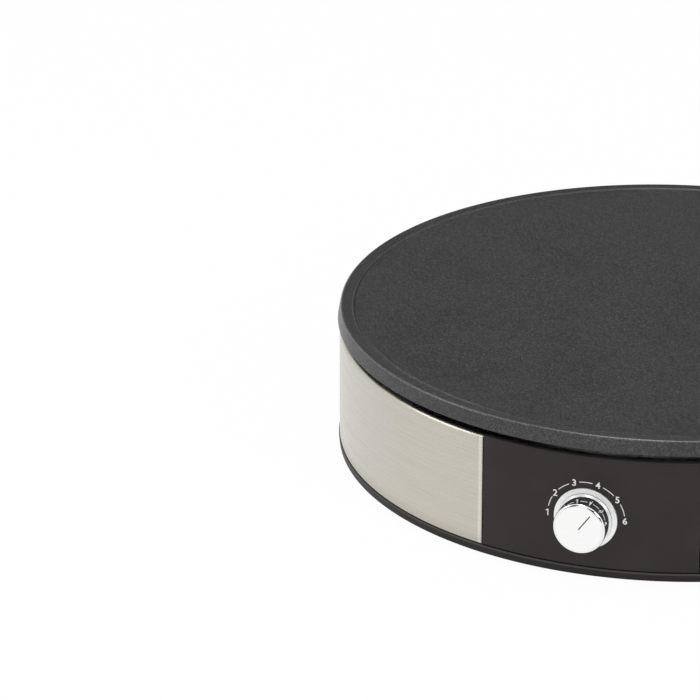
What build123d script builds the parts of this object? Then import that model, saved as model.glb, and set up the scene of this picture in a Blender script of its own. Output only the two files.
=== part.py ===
from build123d import *
import os
from math import cos, degrees, radians, sin, sqrt, tan

# Electric crepe maker, in millimetres. +Z is up, the knob faces -Y, and the origin is on the
# drum's axis at the level that the feet stand on. Angles run anticlockwise from +X.

# ---- driving dimensions -------------------------------------------------------------------

# heights, stacked from the floor up
foot_drop = 1.2             # how far the feet stand out below the tray
tray_edge_height = 5.3      # the thin black ring under the drum
shadow_gap = 0.5            # groove between that ring and the drum
wall_height = 56.7          # panel and bands
plate_gap = 4.0             # air gap between drum and plate
rim_height = 7.4            # outer wall of the plate
lip_height = 2.5            # lip above the cooking surface

# hot plate, from its rim inwards
plate_top_radius = 165.8
rim_flare = 1.4             # the outer wall widens by this towards its foot
rim_edge_round = 1.3
rim_foot_chamfer = 0.3
lip_width = 2.6             # level top of the lip, with its rounding
slope_inset = 6.0           # from the rim to the foot of the lip's inner slope
slope_sag = 0.3             # hollow of that slope
groove_width = 2.6          # run-off groove inside the slope
groove_depth = 0.7
heater_boss_width = 15.0
heater_boss_depth = 5.0
post_boss_radius = 7.0
post_boss_depth = 3.0
plate_rib_width = 3.0
plate_rib_depth = 1.6
plate_rib_count = 8
plate_rib_start = 22.0      # inner radius of the ribs, and of the ring that joins them

# drum skin
plate_overhang = 1.0        # the plate's foot stands out past the drum by this
sheet_thickness = 0.8
seam_gap = 0.4
panel_half_angle = 18.6     # front panel, each side of the knob
cover_half_angle = 15.0     # rear cover, each side of the cord
panel_thickness = 3.2
band_top_flange = 4.0
band_end_flange = 2.8
band_edge_round = 1.0
band_foot_round = 0.4
panel_edge_round = 1.2
panel_foot_round = 0.5

# housing ring
housing_thickness = 2.5
ledge_width = 14.6
ledge_thickness = 3.0
ledge_drop = 5.2            # from the top of the drum down to the ledge
column_radius = 5.2
column_web = 8.0
boss_floor = 1.5            # below the blind holes for the carrier's screws

# base tray
tray_floor = 2.5
tray_overhang = 0.5         # the tray's edge stands out past the drum by this
tray_edge_round = 0.6
tray_taper = 1.2            # its wall draws in by this towards the floor
tray_foot_round = 1.0
tray_rib_height = 3.0
tray_rib_width = 2.0
tray_ribs = 8
tray_rib_inner = 40.0
vent_count = 16
vent_width = 4.0
vent_margin = 18.0          # from a slot's end to the round rib beside it
pad_height = 3.0            # thickened spots round the base screws
pad_radius = 4.6

# carrier ring and heat shield
carrier_thickness = 1.2
carrier_clearance = 2.2     # between the carrier ring and the housing's wall
carrier_width = 38.4
carrier_hem = 5.0           # inner edge, turned down to stiffen the ring
shield_thickness = 0.8
shield_depth = 9.7
shield_mouth_inset = 3.0    # inside the carrier ring's hem
shield_slope = 6.0          # how far the shield's side slopes in
shield_margin = 4.0         # from the shield's edge to the carrier's screws
washer_thickness = 1.0
washer_radius = 6.5
spacer_radius = 5.5

# fixings
post_inset = 18.0           # from the carrier ring's hem out to the posts
post_angles = [45, 135, 225, 315]
post_screw_radius = 2.5
post_screw_bite = 5.2       # length inside the plate
post_screw_head = 4.5
post_screw_head_height = 2.8
post_hole_margin = 0.3
blind_end = 0.3             # a blind hole goes this much deeper than its screw
carrier_screw_inset = 8.6   # from the housing's wall in to the carrier's screws
carrier_screw_angles = [20, 160, 200, 340]
self_tapper_radius = 1.7
self_tapper_bite = 10.0
self_tapper_head = 3.2
self_tapper_head_height = 2.0
screw_well_depth = 3.0
screw_well_margin = 0.4
base_screw_inset = 5.3      # from the housing's wall in to the base screws
base_screw_angles = [60, 120, 240, 300]
foot_inset = 33.5           # from the tray's lower edge in to the feet
foot_angles = [45, 135, 225, 315]
foot_radius = 8.0
foot_recess = 1.0
foot_edge_chamfer = 0.5
foot_stem_radius = 2.6
foot_barb_radius = 3.4
foot_barb_height = 2.0

# heating element
element_radius = 3.25
element_inset = 8.0         # from the shield's floor in to the middle of the element's ring
element_half_gap = 10.0     # degrees each side of the rear, where its ends turn down
element_bend = 8.0
element_tail = 8.0          # straight end below the shield
element_hole_margin = 1.2   # round each end, in the shield
insulator_radius = 2.9
insulator_height = 3.5
pin_radius = 1.2
pin_length = 8.5

# control: knob, ring and thermostat
knob_height = 31.0          # axis above the tray's underside
knob_radius = 12.6          # at the face
knob_skirt_radius = 13.1    # at the back, so that the side tapers towards the user
knob_stand_out = 13.2       # face of the knob in front of the panel
knob_edge_round = 1.5
knob_shell_wall = 1.0
knob_gap = 0.3              # between the knob's back and the ring's face
pointer_angle = 36.0        # from upright, clockwise as the user sees it
pointer_inner = -0.2
pointer_outer = 9.2
pointer_width = 0.6
pointer_depth = 0.4
ring_radius = 15.4
ring_bore_radius = 9.5
ring_stand_out = 1.5
ring_outer_stand_out = 0.7
ring_edge_round = 0.3
ring_seat_depth = 1.0       # pocket in the panel that the ring lies in
shaft_radius = 3.0
shaft_flat = 0.8
shaft_reach = 8.0           # shaft inside the knob
shaft_depth_in_body = 6.0
bush_radius = 5.0
bush_length = 8.5
bracket_width = 52.0
bracket_height = 22.0
bracket_thickness = 1.0
bracket_hole_half_span = 20.0
bracket_standoff = 7.0      # panel's back to the bracket
bracket_boss_radius = 4.0
bracket_screw_radius = 1.4
bracket_screw_bite = 6.0
bracket_screw_head = 2.8
bracket_screw_head_height = 1.8
core_wall = 2.0
core_ribs = 6
core_rib_width = 1.2
thermostat_width = 34.0
thermostat_height = 30.0
thermostat_depth = 24.0
thermostat_round = 2.0

# sensor
bulb_radius = 2.5
bulb_length = 50.0
bulb_rib_gap = 1.8          # from the bulb's ends to the plate's ribs
capillary_radius = 0.9
capillary_run = 18.0        # from the bulb's end to where the capillary turns down
capillary_hole_margin = 1.6
capillary_lift = 6.0        # low point of the capillary below its entry
capillary_lead = 15.0       # straight length behind the thermostat
capillary_swing = 10.0
clip_thickness = 0.8
clip_width = 8.0
clip_wing = 4.0             # strap beyond its screws
bulb_clip_half_span = 7.5
clip_screw_radius = 1.5
clip_screw_bite = 3.1
clip_screw_head = 2.8
clip_screw_head_height = 2.0

# rear gland
gland_height = 18.8         # axis above the tray's underside
gland_flange_radius = 9.0
gland_flange_depth = 3.0
gland_seat_depth = 1.0
gland_neck_radius = 6.0
gland_lock_radius = 7.4
gland_lock_depth = 3.0
gland_bore_radius = 3.9

# snap hooks on the panel and the cover
hook_length = 7.0
hook_root = 5.0
hook_thickness = 2.0
hook_height = 9.0
hook_rise = 18.0            # lower hooks above the panel's bottom edge

# terminal block, wires, fuse and earth
block_width = 36.0
block_depth = 18.0
block_height = 14.0
block_gap = 13.0            # outside the element's ring
pole_pitch = 10.0
pole_screw_radius = 2.2
pole_screw_sink = 1.0
pole_screw_length = 5.0
pole_hole_radius = 1.6
wire_insert = 3.0           # length of each wire inside the block
wire_radius = 1.3
wire_level = 7.0            # wires leave the block this high above the tray's floor
fuse_radius = 2.5
fuse_length = 14.0
fuse_x = 30.0
fuse_start = 30.0
fuse_clip_half_span = 7.0
tab_half_span = 8.0         # thermostat's two blades
tab_width = 6.3
tab_thickness = 0.8
tab_length = 7.0
tab_drop = 8.0              # blades and capillary, from the knob's axis
earth_angle = 65.0
earth_inset = 10.0          # from the carrier ring's hem out to the earth screw
lug_radius = 4.0
lug_thickness = 0.8
lug_reach = 9.0             # from the screw out to the barrel
lug_barrel_radius = 2.0
lug_barrel_length = 7.0
earth_screw_radius = 1.9
earth_screw_head = 3.4
earth_screw_head_height = 2.2

# wires: straight leads at their ends, and hand-laid points between. A point is its distance
# across, its share of the way from the axis back to the block, and its rise above the level at
# which the wires leave the block
wire_lead = 15.0
pin_lead = 10.0
earth_rise = 12.0
live_wire_way = [(-10, 0.81, 0), (-50, 0.51, 0), (-58, -0.34, 2), (-30, -0.85, 8)]
heater_wire_way = [(24, -0.42, 27.5), (30, 0, 36.5)]
fuse_lead_way = [(30, 0.56, 36.5), (2, 0.75, 9.3)]
neutral_wire_way = [(0, 0.95, 0), (2, 0.87, 7.3)]
earth_wire_way = [(10, 0.88, 0), (36, 0.87, 2)]

# clearances, and small amounts by which cuts and joins pass each other
cut_margin = 1.0            # a cut starts this far outside what it cuts
root_depth = 0.1            # a rib or tongue starts this deep in what it grows from
skin_clearance = 0.3        # between curved walls that lie against each other
running_clearance = 0.05    # shaft in its bush
thread_clearance = 0.05     # screw in the hole that it bites into

# ---- levels and radii worked out from them ------------------------------------------------

tray_bottom = foot_drop
tray_top = tray_bottom + tray_floor
tray_edge_top = tray_bottom + tray_edge_height
wall_bottom = tray_edge_top + shadow_gap
wall_top = wall_bottom + wall_height
plate_bottom = wall_top + plate_gap
plate_top = plate_bottom + rim_height
cook_level = plate_top - lip_height
ledge_top = wall_top - ledge_drop
ledge_bottom = ledge_top - ledge_thickness
carrier_top = ledge_top + carrier_thickness
shield_flange_top = carrier_top + shield_thickness
shield_bottom = carrier_top - shield_depth
washer_top = shield_flange_top + washer_thickness
post_boss_bottom = plate_bottom - post_boss_depth
heater_level = plate_bottom - heater_boss_depth
element_end_height = shield_bottom - element_tail
knob_level = tray_bottom + knob_height
gland_level = tray_bottom + gland_height
housing_top = wall_top - sheet_thickness - skin_clearance

plate_bottom_radius = plate_top_radius + rim_flare
slope_radius = plate_top_radius - slope_inset
body_radius = plate_bottom_radius - plate_overhang
panel_inner_radius = body_radius - panel_thickness
housing_outer_radius = body_radius - sheet_thickness - skin_clearance
housing_inner_radius = housing_outer_radius - housing_thickness
tray_edge_radius = body_radius + tray_overhang
tray_foot_radius = tray_edge_radius - tray_taper
carrier_outer_radius = housing_inner_radius - carrier_clearance
carrier_inner_radius = carrier_outer_radius - carrier_width
carrier_screw_circle = housing_inner_radius - carrier_screw_inset
base_screw_circle = housing_inner_radius - base_screw_inset
post_circle = carrier_inner_radius + post_inset
earth_circle = carrier_inner_radius + earth_inset
shield_outer_radius = carrier_screw_circle - shield_margin
shield_mouth_radius = carrier_inner_radius - shield_mouth_inset
shield_floor_radius = shield_mouth_radius - shield_slope
heater_radius = shield_floor_radius - element_inset
rib_half_step = radians(180 / plate_rib_count)
bulb_reach = bulb_length / 2 + bulb_rib_gap + plate_rib_width / 2 / cos(rib_half_step)
bulb_offset = bulb_reach / tan(rib_half_step)  # between two ribs, as far in as its length allows
block_front = heater_radius + block_gap
tray_rib_outer = block_front - tray_rib_width * 4
foot_circle = tray_foot_radius - foot_inset
front = -90.0               # angle of the side that faces -Y
rear = 90.0


# ---- small helpers ------------------------------------------------------------------------

def side_plane(angle):
    """Upright plane through the drum's axis: local x runs outwards at this angle, local y up."""
    turn = radians(angle)
    return Plane(origin=(0, 0, 0), x_dir=(cos(turn), sin(turn), 0), z_dir=(sin(turn), -cos(turn), 0))


def front_plane(y):
    """Upright plane at this y, seen from the front: local x runs along +X, local y up."""
    return Plane(origin=(0, y, 0), x_dir=(1, 0, 0), z_dir=(0, -1, 0))


def span(length, radius):
    """Angle in degrees that a length covers on a circle."""
    return degrees(length / radius)


def polar(radius, angle, z):
    return Vector(radius * cos(radians(angle)), radius * sin(radians(angle)), z)


def box_face(low, high, mode=Mode.ADD):
    """Rectangle between two corners, in the sketch that is being made."""
    with Locations(((low[0] + high[0]) / 2, (low[1] + high[1]) / 2)):
        Rectangle(high[0] - low[0], high[1] - low[1], mode=mode)


def sector(inner, outer, low, high, start, arc, mode=Mode.ADD):
    """Curved block of the drum's wall, from one radius, level and angle to another."""
    with BuildSketch(side_plane(start)) as section:
        box_face((inner, low), (outer, high))
    revolve(section.sketch, axis=Axis.Z, revolution_arc=arc, mode=mode)


def local_points(plane, centres):
    return [(point.X, point.Y) for point in (plane.to_local_coords(centre) for centre in centres)]


def rounds(plane, radius, length, centres, mode=Mode.ADD):
    """Round blocks of one size that start on a plane, at these points."""
    with BuildSketch(plane) as section:
        with Locations(*local_points(plane, centres)):
            Circle(radius)
    extrude(section.sketch, amount=length, mode=mode)


def disc(radius, level, height, centres, mode=Mode.ADD):
    """Upright round blocks of one size, standing on one level."""
    rounds(Plane.XY.offset(level), radius, height, centres, mode)


def tube(points, radius):
    """Round wire or pipe along straight runs, joined by the largest arcs that the runs allow."""
    route = [Vector(point) for point in points]
    runs = [after - before for before, after in zip(route, route[1:])]
    bends = [
        0.45 * min(run.length, following.length) / tan(radians(run.get_angle(following) / 2))
        for run, following in zip(runs, runs[1:])
    ]
    with BuildPart() as wire:
        with BuildLine() as path:
            FilletPolyline(*route, radius=bends)
        with BuildSketch(Plane(origin=path.line @ 0, z_dir=path.line % 0)):
            Circle(radius)
        sweep(path=path.line)
    return wire


def pan_screws(seat, centres, head_radius, head_height, shank_radius, shank_length):
    """Group of pan screws with hexagon sockets. The shanks run along the normal of the seat."""
    with BuildPart() as screws:
        rounds(seat, head_radius, -head_height, centres)
        rounds(seat, shank_radius, shank_length, centres)
        drive = seat.offset(-head_height)
        with BuildSketch(drive) as sockets:
            with Locations(*local_points(drive, centres)):
                RegularPolygon(head_radius * 0.5, 6)
        extrude(sockets.sketch, amount=head_height * 0.6, mode=Mode.SUBTRACT)
    return screws


def hanging_strap(plane, middle, ceiling, held_radius, half_span, width, hole_radius=0):
    """Omega-shaped strap that holds a round piece up against a flat surface.

    The plane's local x runs across the strap, and its local y is the height.
    """
    inner = held_radius + skin_clearance
    outer = inner + clip_thickness
    centre_level = ceiling - skin_clearance - held_radius
    wing = half_span + clip_wing
    with BuildPart() as strap:
        with BuildSketch(plane.offset(-width / 2)):
            with Locations((middle, centre_level)):
                Circle(outer)
            box_face((middle - outer, centre_level), (middle + outer, ceiling))
            box_face((middle - wing, ceiling - clip_thickness), (middle + wing, ceiling))
            with Locations((middle, centre_level)):
                Circle(inner, mode=Mode.SUBTRACT)
            box_face((middle - inner, centre_level), (middle + inner, ceiling + cut_margin), Mode.SUBTRACT)
        extrude(amount=width)
        if hole_radius:
            spots = [plane.from_local_coords((middle + side * half_span, 0, 0)) for side in (-1, 1)]
            disc(hole_radius, ceiling - clip_thickness, clip_thickness, spots, Mode.SUBTRACT)
    return strap


def d_profile(plane, radius, flat):
    """Circle round the knob's axis with a flat on its upper side, this far from the axis."""
    with BuildSketch(plane) as section:
        with Locations((0, knob_level)):
            Circle(radius)
        box_face((-radius, knob_level + flat), (radius, knob_level + radius + cut_margin), Mode.SUBTRACT)
    return section.sketch


post_centres = [polar(post_circle, angle, 0) for angle in post_angles]
carrier_screw_centres = [polar(carrier_screw_circle, angle, 0) for angle in carrier_screw_angles]
base_screw_centres = [polar(base_screw_circle, angle, 0) for angle in base_screw_angles]
foot_centres = [polar(foot_circle, angle, 0) for angle in foot_angles]
bulb_screw_centres = [
    Vector(0, -bulb_offset - bulb_clip_half_span, 0),
    Vector(0, -bulb_offset + bulb_clip_half_span, 0),
]
earth_centre = polar(earth_circle, earth_angle, 0)


# ---- hot plate ----------------------------------------------------------------------------

with BuildPart() as hot_plate:
    lip_inner = plate_top_radius - lip_width
    groove_inner = slope_radius - groove_width
    groove_top = cook_level - groove_depth / 2
    with BuildSketch(Plane.XZ):
        with BuildLine():
            Polyline(
                (0, cook_level),
                (0, plate_bottom),
                (plate_bottom_radius, plate_bottom),
                (plate_top_radius, plate_top),
                (lip_inner, plate_top),
            )
            ThreePointArc(
                (lip_inner, plate_top),
                ((lip_inner + slope_radius) / 2 - slope_sag, (plate_top + groove_top) / 2 - slope_sag),
                (slope_radius, groove_top),
            )
            ThreePointArc(
                (slope_radius, groove_top),
                (slope_radius - groove_width * 0.45, cook_level - groove_depth),
                (groove_inner, cook_level),
            )
            Line((groove_inner, cook_level), (0, cook_level))
        make_face()
    revolve(axis=Axis.Z)
    rim_edges = hot_plate.edges().filter_by(GeomType.CIRCLE)
    outer_top_edge = rim_edges.group_by(Axis.Z)[-1].sort_by(SortBy.RADIUS)[-1]
    outer_bottom_edge = rim_edges.group_by(Axis.Z)[0].sort_by(SortBy.RADIUS)[-1]
    fillet(outer_top_edge, rim_edge_round)
    chamfer(outer_bottom_edge, rim_foot_chamfer)

    # the ring boss under the plate, with the half-round channel that the element is pressed into
    sector(
        heater_radius - heater_boss_width / 2, heater_radius + heater_boss_width / 2,
        heater_level, plate_bottom, 0, 360,
    )
    with BuildSketch(Plane.XZ):
        with Locations((heater_radius, heater_level)):
            Circle(element_radius + skin_clearance / 2)
    revolve(axis=Axis.Z, mode=Mode.SUBTRACT)

    # stiffening ribs between the middle ring and the boss
    sector(
        plate_rib_start, plate_rib_start + plate_rib_width,
        plate_bottom - plate_rib_depth, plate_bottom, 0, 360,
    )
    with BuildSketch(Plane.XY.offset(plate_bottom)):
        with PolarLocations(0, plate_rib_count, start_angle=180 / plate_rib_count):
            box_face(
                (plate_rib_start + root_depth, -plate_rib_width / 2),
                (heater_radius - heater_boss_width / 2 + root_depth, plate_rib_width / 2),
            )
    extrude(amount=-plate_rib_depth)

    # bosses for the post screws, and the blind holes for these and the sensor's clip
    disc(post_boss_radius, post_boss_bottom, post_boss_depth, post_centres)
    disc(
        post_screw_radius + thread_clearance, post_boss_bottom, post_screw_bite + blind_end,
        post_centres, Mode.SUBTRACT,
    )
    disc(
        clip_screw_radius + thread_clearance, plate_bottom, clip_screw_bite + blind_end,
        bulb_screw_centres, Mode.SUBTRACT,
    )


# ---- heating element ----------------------------------------------------------------------

def turn_down(end, way):
    """Points where an end of the ring turns down, for an end at this angle that runs this way."""
    start = polar(heater_radius, end, heater_level)
    tangent = Vector(-sin(radians(end)), cos(radians(end)), 0) * way
    slant = sin(radians(45))
    middle = start + tangent * element_bend * slant - Vector(0, 0, element_bend * (1 - slant))
    foot = start + tangent * element_bend - Vector(0, 0, element_bend)
    return start, middle, foot, Vector(foot.X, foot.Y, element_end_height)


left_start, left_middle, left_foot, left_end = turn_down(rear + element_half_gap, -1)
right_start, right_middle, right_foot, right_end = turn_down(rear - element_half_gap, 1)
element_ends = [left_end, right_end]

with BuildPart() as heating_element:
    with BuildLine() as element_path:
        Line(left_end, left_foot)
        ThreePointArc(left_foot, left_middle, left_start)
        ThreePointArc(left_start, polar(heater_radius, front, heater_level), right_start)
        ThreePointArc(right_start, right_middle, right_foot)
        Line(right_foot, right_end)
    with BuildSketch(Plane(origin=left_end, z_dir=(0, 0, 1))):
        Circle(element_radius)
    sweep(path=element_path.line)

with BuildPart() as element_insulators:
    disc(insulator_radius, element_end_height - insulator_height, insulator_height, element_ends)

with BuildPart() as element_pins:
    disc(pin_radius, element_end_height - insulator_height - pin_length, pin_length, element_ends)


# ---- heat shield, carrier ring and posts --------------------------------------------------

capillary_drop_x = bulb_length / 2 + capillary_run

with BuildPart() as heat_shield:
    with BuildSketch(Plane.XZ):
        with BuildLine():
            Polyline(
                (0, shield_bottom),
                (shield_floor_radius, shield_bottom),
                (shield_mouth_radius, carrier_top),
                (shield_outer_radius, carrier_top),
                (shield_outer_radius, shield_flange_top),
                (shield_mouth_radius - shield_thickness / 2, shield_flange_top),
                (shield_floor_radius - shield_thickness / 2, shield_bottom + shield_thickness),
                (0, shield_bottom + shield_thickness),
                close=True,
            )
        make_face()
    revolve(axis=Axis.Z)
    disc(
        element_radius + element_hole_margin, shield_bottom, shield_thickness,
        element_ends, Mode.SUBTRACT,
    )
    disc(
        capillary_radius + capillary_hole_margin, shield_bottom, shield_thickness,
        [Vector(capillary_drop_x, -bulb_offset, 0)], Mode.SUBTRACT,
    )
    disc(
        post_screw_radius + post_hole_margin, carrier_top, shield_thickness,
        post_centres, Mode.SUBTRACT,
    )

with BuildPart() as carrier_ring:
    sector(carrier_inner_radius, carrier_outer_radius, ledge_top, carrier_top, 0, 360)
    sector(
        carrier_inner_radius, carrier_inner_radius + carrier_thickness,
        ledge_top - carrier_hem, ledge_top, 0, 360,
    )
    disc(
        post_screw_radius + post_hole_margin, ledge_top, carrier_thickness,
        post_centres, Mode.SUBTRACT,
    )
    disc(
        self_tapper_radius + post_hole_margin, ledge_top, carrier_thickness,
        carrier_screw_centres, Mode.SUBTRACT,
    )
    disc(
        earth_screw_radius + thread_clearance, ledge_top, carrier_thickness,
        [earth_centre], Mode.SUBTRACT,
    )

with BuildPart() as insulating_washers:
    disc(washer_radius, shield_flange_top, washer_thickness, post_centres)
    disc(
        post_screw_radius + post_hole_margin, shield_flange_top, washer_thickness,
        post_centres, Mode.SUBTRACT,
    )

with BuildPart() as plate_spacers:
    disc(spacer_radius, washer_top, post_boss_bottom - washer_top, post_centres)
    disc(
        post_screw_radius + post_hole_margin, washer_top, post_boss_bottom - washer_top,
        post_centres, Mode.SUBTRACT,
    )

downwards = Plane(origin=(0, 0, 0), x_dir=(1, 0, 0), z_dir=(0, 0, -1))

plate_screws = pan_screws(
    Plane.XY.offset(ledge_top), post_centres, post_screw_head, post_screw_head_height,
    post_screw_radius, post_boss_bottom + post_screw_bite - ledge_top,
)
carrier_screws = pan_screws(
    downwards.offset(-carrier_top), carrier_screw_centres, self_tapper_head, self_tapper_head_height,
    self_tapper_radius, carrier_thickness + self_tapper_bite,
)


# ---- housing ring -------------------------------------------------------------------------

end_flange_angle = span(seam_gap + sheet_thickness + skin_clearance, body_radius)
front_window = panel_half_angle + end_flange_angle
rear_window = cover_half_angle + end_flange_angle
column_top = ledge_bottom
column_bottom = tray_top + pad_height

with BuildPart() as housing_ring:
    sector(housing_inner_radius, housing_outer_radius, tray_top, housing_top, 0, 360)
    for middle, half in ((front, front_window), (rear, rear_window)):
        sector(
            housing_inner_radius - cut_margin, housing_outer_radius + cut_margin, tray_top, housing_top,
            middle - half, 2 * half, Mode.SUBTRACT,
        )
    sector(
        housing_inner_radius - ledge_width, housing_inner_radius + root_depth,
        ledge_bottom, ledge_top, 0, 360,
    )

    # screw columns that stand on the tray, each with a web to the wall
    with BuildSketch(Plane.XY.offset(column_bottom)):
        with Locations(*[(centre.X, centre.Y) for centre in base_screw_centres]):
            Circle(column_radius)
        for angle in base_screw_angles:
            with Locations(Location((0, 0, 0), (0, 0, angle))):
                box_face(
                    (base_screw_circle, -column_web / 2),
                    (housing_inner_radius + housing_thickness / 2, column_web / 2),
                )
    extrude(amount=column_top - column_bottom)
    disc(
        self_tapper_radius + thread_clearance, column_bottom, self_tapper_bite + blind_end,
        base_screw_centres, Mode.SUBTRACT,
    )
    # bosses under the ledge for the carrier's screws
    boss_bottom = ledge_top - self_tapper_bite - blind_end - boss_floor
    disc(column_radius, boss_bottom, ledge_bottom - boss_bottom, carrier_screw_centres)
    disc(
        self_tapper_radius + thread_clearance, boss_bottom + boss_floor, self_tapper_bite + blind_end,
        carrier_screw_centres, Mode.SUBTRACT,
    )


# ---- steel side bands ---------------------------------------------------------------------

def skin_rings(piece):
    """Edges of a curved wall round the drum's outer radius, the foot's first and the top's last."""
    rings = piece.edges().filter_by(GeomType.CIRCLE)
    return rings.filter_by(lambda edge: abs(edge.radius - body_radius) < root_depth).sort_by(Axis.Z)


def skin_ends(piece):
    """Upright edges of a curved wall at the drum's outer radius."""
    return piece.edges().filter_by(Axis.Z).filter_by(
        lambda edge: abs(Vector(edge.center().X, edge.center().Y).length - body_radius) < root_depth
    )


def side_band(start, arc):
    """Steel sheet round one side of the drum, with its top and its two ends turned inwards."""
    edge = span(sheet_thickness, body_radius)
    with BuildPart() as band:
        sector(body_radius - sheet_thickness, body_radius, wall_bottom, wall_top, start, arc)
        sector(body_radius - band_top_flange, body_radius, wall_top - sheet_thickness, wall_top, start, arc)
        for end in (start, start + arc - edge):
            sector(body_radius - band_end_flange, body_radius, wall_bottom, wall_top, end, edge)
        fillet([skin_rings(band)[-1], *skin_ends(band)], band_edge_round)
        fillet(skin_rings(band)[0], band_foot_round)
    return band


seam_half = span(seam_gap / 2, body_radius)
band_arc = 180 - panel_half_angle - cover_half_angle - 2 * seam_half
side_band_right = side_band(front + panel_half_angle + seam_half, band_arc)
side_band_left = side_band(rear + cover_half_angle + seam_half, band_arc)


# ---- control panel and rear cover ---------------------------------------------------------

def snap_hooks(middle, half):
    """Tongues at both ends of a cover that reach behind the housing's wall."""
    root = span(hook_root, panel_inner_radius)
    reach = span(hook_length, panel_inner_radius)
    hook_outer = housing_inner_radius - skin_clearance
    for low in (wall_bottom + hook_rise, ledge_bottom - skin_clearance - hook_height):
        for side in (-1, 1):
            end = middle + side * (half - seam_half)
            root_start = end - root if side > 0 else end
            tongue_start = end - root if side > 0 else end - reach
            sector(
                hook_outer - hook_thickness, panel_inner_radius + root_depth, low, low + hook_height,
                root_start, root,
            )
            sector(
                hook_outer - hook_thickness, hook_outer, low, low + hook_height,
                tongue_start, root + reach,
            )


def curved_cover(middle, half):
    """Moulded wall that fills the gap between the two bands."""
    with BuildPart() as cover:
        start = middle - half + seam_half
        arc = 2 * (half - seam_half)
        sector(panel_inner_radius, body_radius, wall_bottom, wall_top, start, arc)
        fillet([skin_rings(cover)[0], *skin_ends(cover)], panel_foot_round)
        fillet(skin_rings(cover)[-1], panel_edge_round)
        snap_hooks(middle, half)
    return cover


panel_back = -sqrt(panel_inner_radius**2 - bracket_hole_half_span**2)
ring_seat = -body_radius + ring_seat_depth
bracket_front = -panel_inner_radius + bracket_standoff
boss_points = [(-bracket_hole_half_span, knob_level), (bracket_hole_half_span, knob_level)]

control_panel = curved_cover(front, panel_half_angle)
with control_panel:
    with BuildSketch(front_plane(bracket_front)) as boss_section:
        with Locations(*boss_points):
            Circle(bracket_boss_radius)
    extrude(boss_section.sketch, amount=bracket_front - panel_back + panel_thickness / 2)
    with BuildSketch(front_plane(bracket_front)) as pilot_section:
        with Locations(*boss_points):
            Circle(bracket_screw_radius + thread_clearance)
    extrude(pilot_section.sketch, amount=bracket_screw_bite + blind_end, mode=Mode.SUBTRACT)
    with BuildSketch(front_plane(ring_seat)) as pocket_section:
        with Locations((0, knob_level)):
            Circle(ring_radius + skin_clearance)
    extrude(pocket_section.sketch, amount=ring_seat_depth + cut_margin, mode=Mode.SUBTRACT)
    with BuildSketch(front_plane(ring_seat)) as hole_section:
        with Locations((0, knob_level)):
            Circle(bush_radius + skin_clearance)
    extrude(hole_section.sketch, amount=-panel_thickness, mode=Mode.SUBTRACT)

gland_seat = body_radius - gland_seat_depth

rear_cover = curved_cover(rear, cover_half_angle)
with rear_cover:
    with BuildSketch(front_plane(gland_seat)) as seat_section:
        with Locations((0, gland_level)):
            Circle(gland_flange_radius + skin_clearance)
    extrude(seat_section.sketch, amount=-gland_seat_depth - cut_margin, mode=Mode.SUBTRACT)
    with BuildSketch(front_plane(gland_seat)) as neck_section:
        with Locations((0, gland_level)):
            Circle(gland_neck_radius + skin_clearance)
    extrude(neck_section.sketch, amount=panel_thickness, mode=Mode.SUBTRACT)

with BuildPart() as cord_gland:
    gland_lock_front = panel_inner_radius - skin_clearance
    with BuildSketch(front_plane(gland_seat)) as flange_section:
        with Locations((0, gland_level)):
            Circle(gland_flange_radius)
    extrude(flange_section.sketch, amount=-gland_flange_depth)
    outer_rim = cord_gland.edges().group_by(Axis.Y)[-1]
    chamfer(outer_rim, gland_flange_depth * 0.4)
    with BuildSketch(front_plane(gland_seat)) as barrel_section:
        with Locations((0, gland_level)):
            Circle(gland_neck_radius)
    extrude(barrel_section.sketch, amount=gland_seat - gland_lock_front + gland_lock_depth)
    with BuildSketch(front_plane(gland_lock_front)) as lock_section:
        with Locations((0, gland_level)):
            Circle(gland_lock_radius)
    extrude(lock_section.sketch, amount=gland_lock_depth)
    with BuildSketch(front_plane(gland_seat + gland_flange_depth)) as bore_section:
        with Locations((0, gland_level)):
            Circle(gland_bore_radius)
    extrude(
        bore_section.sketch,
        amount=gland_flange_depth + gland_seat - gland_lock_front + gland_lock_depth,
        mode=Mode.SUBTRACT,
    )


# ---- base tray, feet and screws -----------------------------------------------------------

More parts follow.
